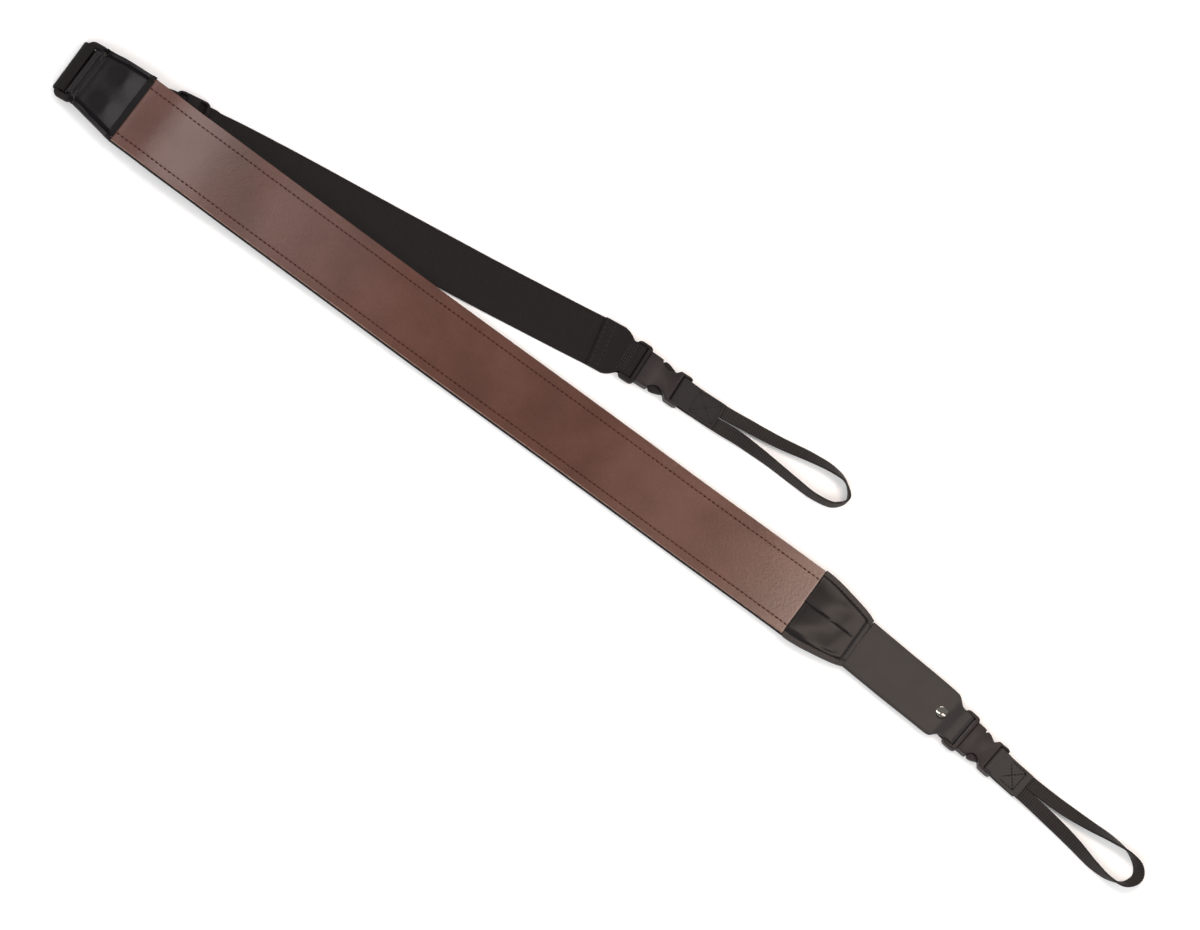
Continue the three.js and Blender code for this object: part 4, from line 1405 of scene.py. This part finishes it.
@dataclass
class LeatherTab:
    """The black tab from the lower cap, folded round the lower buckle's bar and closed by a rivet.

    Its table gives half its width and its middle height by x, and so does the flap's.
    """

    thick: float = 2.2
    edge_round: float = 0.5
    root: float = 620.6
    table: Rows = ((600, 18.6, 4.2), (622, 19.8, 4), (650, 19.7, 3.9), (690, 19.3, 4.5), (697, 19, 4.5),
                   (699.5, 18, 4.5), (702, 15.4, 4.9), (704.5, 13.4, 5.7), (707.5, 12.8, 6.5))
    flap: Rows = ((706.5, 12.6, 1.25), (702, 12.4, 1.75), (697, 12.4, 2), (686, 12.2, 2))
    fold_slack: float = 0.3
    fold_radius: float = 2.9
    rivet_x: float = 696.2
    rivet_radius: float = 4.15
    # Each head's foot, its rise and its share of the radius: the head that shows, and the tail's cap
    rivet_heads: Rows = ((5.65, 2.0, 1.0), (0.62, -0.55, 0.87))
    # A head's outline: shares of its rise and its radius
    rivet_outline: Rows = ((0.30, 1.02), (0.45, 0.94), (0.72, 0.78), (0.90, 0.55), (0.98, 0.28), (1.0, 0.08))
    rivet_rim: float = 0.3
    rivet_lean: Pair = (0.14, -0.2)

    def build_tab(self) -> None:
        """Makes the tab as one strap: along the top, round the bar, and back as a flap below."""
        buckle = BUCKLES[End.LOWER]
        end, tip, _ = self.table[-1]
        x = np.linspace(self.root, end, 90)
        top = spread(x, column(self.table, 2)(x), column(self.table, 1)(x))
        bend = arc(buckle.latch_bar_x + self.fold_slack, buckle.height, self.fold_radius, 90, -90, 16)
        turn = np.array([(a, b, tip) for a, b in bend])
        back = np.array([(a, c, b) for a, b, c in self.flap])
        path = even(np.concatenate((top, turn, back)), 1.5)
        middle, side = folded(path[:, :2], TAB_LINE, 50)
        piece = strap("tab_leather", middle, side, path[:, 2], self.thick, columns=21,
                      bevel=self.edge_round)
        TAB_HIDE.dress(piece)
        settle(piece, ("tab",))

    def model_head(self, spot: np.ndarray, foot: float, rise: float, share: float) -> bpy.types.Object:
        """Models one head of the rivet, a low dome with a rolled rim.

        Args:
            spot: the rivet's place in metres.
            foot: the height of the head's rim.
            rise: how far it rises from there, or falls.
            share: its share of the rivet's radius.

        Returns:
            The head.
        """
        bpy.ops.object.select_all(action="DESELECT")
        bpy.ops.mesh.primitive_circle_add(vertices=40, radius=self.rivet_radius * MM * share,
                                          fill_type="NGON", location=(spot[0], spot[1], foot * MM))
        piece = take("rivet_head")
        bpy.ops.object.transform_apply(location=True)
        with editing(piece):
            done, size = 0.0, 1.0
            for high, across in self.rivet_outline:
                bpy.ops.mesh.extrude_region_move(
                    TRANSFORM_OT_translate={"value": (0, 0, (high - done) * rise * MM)})
                bpy.ops.transform.resize(value=(across / size, across / size, 1),
                                         center_override=(spot[0], spot[1], 0))
                done, size = high, across
            bpy.ops.mesh.select_all(action="SELECT")
            bpy.ops.mesh.normals_make_consistent(inside=False)
        return piece

    def build_rivet(self) -> None:
        """Makes the rivet: its domed head, set a little askew, and its tail cap below."""
        spot = (np.array((self.rivet_x, float(TAB_LINE(self.rivet_x)), 0)) + PAD_ORIGIN) * MM
        rivet = join("rivet_nickel", [self.model_head(spot, *head) for head in self.rivet_heads])
        rim = self.rivet_heads[0][0] + self.rivet_rim
        lean_x, lean_y = self.rivet_lean
        for point in rivet.data.vertices:
            over = max(point.co.z / MM - rim, 0)
            point.co.z += over * (lean_x * (point.co.x - spot[0]) + lean_y * (point.co.y - spot[1]))
        soften(rivet, degrees=50)
        NICKEL.dress(rivet)
        settle(rivet, ("rivet",))

    def build(self) -> None:
        """Builds the tab and its rivet."""
        self.build_tab()
        self.build_rivet()


@dataclass
class SlidingWebbing:
    """The long webbing, from the slide round the ring, back through the slide, and out to the upper buckle.

    The bars of slide and ring are given by their x, their height and the radius of the webbing's turn.
    """

    thick: float = 1.4
    line: Rows = ((-56, 1.3), (-40, 1.7), (0, 8.6), (34, 16.4), (70, 24.1), (200, 43.5), (270, 53.9),
                  (330, 63.7), (362, 69), (381.4, 70.85), (392, 71.45))
    half: Rows = ((-38, 19.95), (-28, 18.8), (13, 18.8), (18, 19.9), (50, 19.9), (55, 18.8), (340, 18.8),
                  (365, 18.8), (370, 17), (373.4, 14.2), (375, 12.7))
    # The sewn fold's height by x, from the cut end to the buckle's bar
    fold: Rows = ((352, 2.4), (362, 2.4), (368, 3.1), (372, 4.6), (377, 6.1), (381, 6.5))
    fold_slack: float = 1.25
    cut_slant: float = 3.0
    cut_run: float = 14.0
    floor: float = 0.7
    second: float = 2.4
    slide: Spot = (34, 3.75, 2.55)
    ring: Spot = (-49.65, 4.25, 3.55)
    rows: Tuple[float, ...] = (354.2, 360.0)
    row_pitch: float = 3.8
    tacks: Tuple[float, ...] = (373.6, 375.2, 376.8, 378.4)
    tack_pitch: float = 2.3
    row_inset: float = 1.8
    row_out: Spot = (-0.15, 0.0, 1.0)
    stitch_length: float = 1.9
    stitch_thick: float = 0.65

    def path(self) -> List[Pair]:
        """Leads the webbing from its hidden end at the slide to its cut end at the buckle.

        Returns:
            Its x and z from point to point.
        """
        sx, sz, sr = self.slide
        rx, rz, rr = self.ring
        buckle = BUCKLES[End.UPPER]
        low, top = self.floor, self.second
        bend = BAR_HALF + GAP + self.thick / 2
        return [
            *arc(sx, sz, sr, 165, -90, 16), (28, 0.9), (22, low), (10, low), (-38, low),
            *arc(rx, rz, rr, -90, -270, 18), *arc(rx + 3.0, rz + rr - 1.1, 1.1, 90, 0, 8),
            *arc(rx + rr + 1.6, top + 1.6, 1.6, 190, 270, 6),
            (-36, top), (14, top), (24, top), (27.4, 2.7), (29.3, 3.5),
            *arc(sx, sz, sr + self.thick + GAP, 165, 15, 14),
            (38.7, 3.2), (40.2, 1.8), (42.6, 0.85), (45, low), (56, low), (340, low), (368, low), (375, 1.2),
            *arc(buckle.latch_bar_x + self.fold_slack, buckle.height, bend, -90, 90, 14),
            *self.fold[-2::-1],
        ]

    def build_webbing(self) -> None:
        """Makes the webbing as one folded strap with its end cut on a slant."""
        middle, side = folded(self.path(), column(self.line, 1), 2.5)
        run = lengths(middle)
        lean = math.radians(self.cut_slant) * smooth(run, run[-1] - self.cut_run, run[-1])
        side = unit(side + spread(-np.sin(lean), np.cos(lean) - 1, 0.0))
        half = column(self.half, 1)(middle[:, 0]) / np.cos(lean)
        piece = strap("sliding_webbing", middle, side, half, self.thick, columns=15)
        STRAP_WEBBING.dress(piece)
        settle(piece, ("webbing",))

    def row(self, x: float, slant: float) -> Run:
        """A row across the folded end.

        Args:
            x: where it crosses the webbing's middle line.
            slant: how far it is turned from straight across, in degrees.

        Returns:
            The row's line and its outward direction.
        """
        line = column(self.line, 1)
        turn = float(line.heading(x)) + math.radians(slant)
        reach = float(column(self.half, 1)(x)) - self.row_inset
        t = np.linspace(-reach, reach, 30)
        at = x - t * math.sin(turn)
        height = column(self.fold, 1)(at) + self.thick / 2
        return spread(at, float(line(x)) + t * math.cos(turn), height), np.array(self.row_out)

    def build_stitches(self) -> None:
        """Sews the folded end down: rows across it, and close tacks by the buckle."""
        sewn = []
        kinds = ((self.rows, self.cut_slant, self.row_pitch), (self.tacks, 0, self.tack_pitch))
        for rows, slant, pitch in kinds:
            runs = [self.row(x, slant) for x in rows]
            sewn.append(sew("webbing_rows", runs, pitch, self.stitch_length, self.stitch_thick))
        piece = join("webbing_stitches", sewn)
        # The rows' grey is a painted highlight on black thread
        PAINTED_HIGHLIGHT_THREAD.dress(piece)
        settle(piece)

    def build(self) -> None:
        """Builds the webbing and its stitches."""
        self.build_webbing()
        self.build_stitches()


@dataclass
class Hardware:
    """The moulded pieces: ring, slide and both halves of both buckles."""

    thick_nodes: Tuple[str, ...] = ("ring", "tri_glide")
    buckle_nodes: Tuple[str, ...] = ("upper_latch", "upper_socket", "lower_latch", "lower_socket")
    matt: Tuple[str, ...] = ("ring", "tri_glide", "upper_latch")
    bevel: float = 0.45
    fine_bevel: float = 0.25
    flat_within: float = 3.0
    mouth_gap: float = 0.5
    mouth_depth: float = 1.0

    def close(self, piece: bpy.types.Object, place: BucklePlace) -> None:
        """Brings a socket's mouth up to its latch's shoulder, as on a fastened buckle.

        Args:
            piece: the socket.
            place: where its buckle lies.
        """
        joint = Vector((np.array((place.x, place.y, 0.0)) + PAD_ORIGIN) * MM)
        way = Vector((*place.way, 0.0))
        for point in piece.data.vertices:
            if (point.co - joint).dot(way) < self.mouth_depth * MM:
                point.co -= way * self.mouth_gap * MM

    def build_piece(self, node: str, bevel: float) -> None:
        """Takes a copy of a solid, merges its faces, rounds its edges and dresses it.

        Args:
            node: the solid's name.
            bevel: how far its edges are rounded off.
        """
        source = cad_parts[node]
        piece = bpy.data.objects.new(f"moulded_{node}", source.data.copy())
        piece.data.name = piece.name
        piece.matrix_world = source.matrix_world.copy()
        bpy.context.collection.objects.link(piece)
        pick(piece)
        bpy.ops.object.transform_apply(location=True, rotation=True, scale=True)
        with editing(piece):
            bpy.ops.mesh.remove_doubles(threshold=MERGE)
            bpy.ops.mesh.dissolve_limited(angle_limit=math.radians(self.flat_within))
        if node.endswith("_socket"):
            self.close(piece, BUCKLES[End(node.split("_")[0])])
        round_edges(piece, bevel, sharp=38, shaded=35)
        (MATT_ACETAL if node in self.matt else ACETAL).dress(piece)
        settle(piece, (node,))

    def build(self) -> None:
        """Builds each moulded piece."""
        for nodes, bevel in ((self.thick_nodes, self.bevel), (self.buckle_nodes, self.fine_bevel)):
            for node in nodes:
                self.build_piece(node, bevel)


@dataclass
class CarryLoop:
    """A narrow webbing loop with the wider tab that ties it to a buckle's socket.

    Its rows give the loop's x, y and roll in degrees, from one of its ends to the other.
    """

    end: End
    rows: Rows
    steps: int = 170
    loop_half: float = 5.0
    loop_thick: float = 1.5
    loop_round: float = 0.45
    fall: float = 34.0
    tab_half: float = 10.0
    tab_thick: float = 1.4
    tab_nylon: WovenWebbing = TAB_NYLON
    # The tab's two layers and its fold, by their height from the buckle's middle
    tab_top: float = 0.2
    tab_bottom: float = -3.3
    fold_radius: float = 2.5
    fold_slack: float = -0.35
    thread_thick: float = 0.45
    stitch_pitch: float = 2.4
    stitch_length: float = 1.9
    sewn_from: float = 12.0
    sewn_short: float = 2.0
    sewn_inset: float = 2.0

    @property
    def place(self) -> BucklePlace:
        """The buckle that the loop hangs on."""
        return BUCKLES[self.end]

    def build_loop(self) -> None:
        """Makes the loop: flat at its tab, rolling onto its edge round its tip."""
        x, y, degrees = flowing(np.array(self.rows), self.steps).T
        way = unit(np.gradient(spread(x, y), axis=0))
        roll = np.radians(degrees)
        side = spread(-way[:, 1] * np.cos(roll), way[:, 0] * np.cos(roll), -np.sin(roll))
        rest = self.loop_half * np.sin(roll) + self.loop_thick / 2 * np.abs(np.cos(roll))
        start = self.place.x + self.place.tab_end
        held = 1 - smooth(x, start, start + self.fall)
        middle = spread(x, y, rest + held * (self.tab_thick + GAP))
        piece = strap(f"{self.end.value}_loop_webbing", middle, side, self.loop_half, self.loop_thick,
                      columns=7, bevel=self.loop_round)
        LOOP_NYLON.dress(piece)
        settle(piece, (f"{self.end.value}_loop",))

    def build_tab(self) -> None:
        """Makes the tab: a doubled piece of wide webbing round the socket's bar."""
        end, bar = self.place.tab_end, self.place.socket_bar
        path = [(end, self.tab_top), (bar + 12, self.tab_top), (bar + 6, 1.0),
                *arc(bar + self.fold_slack, 0, self.fold_radius, 90, 270, 12),
                (bar + 5, -2.9), (bar + 9, self.tab_bottom), (end - 2, self.tab_bottom)]
        x, z = even(np.array(path), 1.5).T
        along, over = self.place.way
        piece = strap(f"{self.end.value}_tab_webbing", self.place.set_out(spread(x, 0.0, z)),
                      np.array((-over, along, 0.0)), self.tab_half, self.tab_thick)
        self.tab_nylon.dress(piece)
        settle(piece, (f"{self.end.value}_loop_tab",))

    def build_stitches(self) -> None:
        """Sews the tab down over the loop's ends: a box with a cross."""
        near, far = self.place.socket_bar + self.sewn_from, self.place.tab_end - self.sewn_short
        reach = self.tab_half - self.sewn_inset
        height = self.tab_top + self.tab_thick / 2
        box = ((near, -reach), (far, -reach), (far, reach), (near, reach))
        corners = np.array([(x, y, height) for x, y in box])
        runs = []
        for a, b in ((0, 1), (1, 2), (2, 3), (3, 0), (0, 2), (1, 3)):
            line = corners[a] + (corners[b] - corners[a]) * np.linspace(0, 1, 20)[:, None]
            runs.append((self.place.set_out(line), UP))
        piece = sew(f"{self.end.value}_tab_stitches", runs, self.stitch_pitch, self.stitch_length,
                    self.thread_thick)
        BLACK_THREAD.dress(piece)
        settle(piece)

    def build(self) -> None:
        """Builds the loop, its tab and the stitches."""
        self.build_loop()
        self.build_tab()
        self.build_stitches()


UPPER_LOOP: Rows = ((434, 79, 0), (455, 80.5, 0), (472, 83, 8), (497, 86.7, 18), (521, 91.5, 32),
                    (538, 93.3, 47), (549.4, 91.2, 68), (558, 81.7, 90), (552.2, 72.4, 88),
                    (538, 68.7, 84), (521, 68.9, 77), (497, 70.1, 66), (472, 70.4, 38), (460, 69.7, 14),
                    (452, 69.2, 0), (434, 68.6, 0))
LOWER_LOOP: Rows = ((763, -5.9, 0), (780, -7, 0), (804, -7, 10), (823, -6.4, 30), (843, -5.1, 52),
                    (858, -5.9, 78), (869, -11.2, 118), (872, -17.4, 136), (867.6, -26.2, 122),
                    (857, -29.6, 98), (843, -28.9, 74), (823, -24.4, 50), (804, -20.8, 32),
                    (780, -17.4, 5), (763, -16, 0))


@dataclass(frozen=True)
class Softbox:
    """A rectangular light: its place, aim and size in metres, its power and its colour."""

    name: str
    place: Spot
    aim: Spot
    size: Pair
    watts: float
    tint: str = "#ffffff"
    mirrored: bool = True

    def hang(self) -> None:
        """Adds the light, out of the camera's sight and, where it isn't mirrored, out of glossy faces."""
        data = bpy.data.lights.new(self.name, "AREA")
        data.shape = "RECTANGLE"
        data.size, data.size_y = self.size
        data.energy = self.watts
        data.color = linear(self.tint)[:3]
        light = bpy.data.objects.new(self.name, data)
        light.location = self.place
        light.visible_camera = False
        light.visible_glossy = self.mirrored
        light.rotation_euler = (Vector(self.aim) - Vector(self.place)).to_track_quat("-Z", "Y").to_euler()
        bpy.context.collection.objects.link(light)


@dataclass
class Studio:
    """The pale floor, the soft lights and the camera at the photograph's angle."""

    elevation: float = 70.0
    roll: float = 36.22
    target: Spot = (-5.6, -37.3, 0.0)
    frame_width: float = 828.0
    lens: float = 300.0
    sensor: float = 36.0
    floor_size: float = 12.0
    floor_drop: float = 0.0003
    room_light: float = 0.2
    # Three boxes above the strap make the sheen on its leather, and three wide ones fill the shadows
    lights: Tuple[Softbox, ...] = (
        Softbox("left_edge", (-0.70, 0.28, 0.85), (-0.70, 0.0, 0), (0.2, 0.5), 0.27, "#fcf6f6"),
        Softbox("left_box", (-0.4, 0.28, 0.85), (-0.4, 0.0, 0), (0.23, 0.5), 1.5, "#fcf6f6"),
        Softbox("right_box", (0.3225, 0.28, 0.85), (0.3225, 0.0, 0), (0.355, 0.5), 3.95, "#ffeadc"),
        Softbox("front_fill", (0.0, -1.8, 1.6), (0, 0, 0), (2.6, 1.4), 48, mirrored=False),
        Softbox("left_fill", (-1.9, 0.2, 1.3), (0, 0, 0), (1.2, 1.2), 11),
        Softbox("right_fill", (1.9, 0.2, 1.3), (0, 0, 0), (1.2, 1.2), 11),
    )

    def build_floor(self) -> None:
        """Lays a wide matt board under the strap."""
        bpy.ops.object.select_all(action="DESELECT")
        bpy.ops.mesh.primitive_plane_add(size=self.floor_size, location=(0, 0, -self.floor_drop))
        floor = take("floor")
        bpy.ops.object.transform_apply(location=True)
        BOARD.dress(floor)

    def build_world(self) -> None:
        """Fills the room with even pale light."""
        world = bpy.data.worlds.new("pale_room")
        world.use_nodes = True
        back = world.node_tree.nodes["Background"]
        back.inputs["Color"].default_value = linear("#ffffff")
        back.inputs["Strength"].default_value = self.room_light
        bpy.context.scene.world = world

    def build_camera(self) -> None:
        """Sets the camera where the photograph was taken from."""
        tilt, roll = math.radians(self.elevation), math.radians(self.roll)
        along = Vector((1, 0, 0))
        away = Vector((0, math.sin(tilt), math.cos(tilt)))
        right = along * math.cos(roll) + away * math.sin(roll)
        up = away * math.cos(roll) - along * math.sin(roll)
        back = right.cross(up)
        data = bpy.data.cameras.new("camera")
        data.lens, data.sensor_width, data.sensor_fit = self.lens, self.sensor, "HORIZONTAL"
        camera = bpy.data.objects.new("camera", data)
        distance = self.frame_width * self.lens / self.sensor
        turned = Matrix((right, up, back)).transposed().to_4x4()
        camera.matrix_world = Matrix.Translation((Vector(self.target) + back * distance) * MM) @ turned
        bpy.context.collection.objects.link(camera)
        bpy.context.scene.camera = camera

    def build(self) -> None:
        """Builds the floor, the lights and the camera."""
        self.build_floor()
        self.build_world()
        for light in self.lights:
            light.hang()
        bpy.context.scene.view_settings.view_transform = "Standard"
        self.build_camera()


def main() -> None:
    """Builds the strap from the pad outwards, then the studio."""
    logging.basicConfig(level=logging.INFO, format="%(name)s %(message)s")
    ShoulderPad().build()
    RingCap().build()
    TabCap().build()
    LeatherTab().build()
    SlidingWebbing().build()
    Hardware().build()
    CarryLoop(End.UPPER, UPPER_LOOP).build()
    CarryLoop(End.LOWER, LOWER_LOOP, tab_nylon=WORN_TAB_NYLON, thread_thick=0.85, sewn_from=8.0,
              sewn_short=5.0).build()
    Studio().build()
    bpy.context.view_layer.update()


if __name__ == "__main__":
    main()
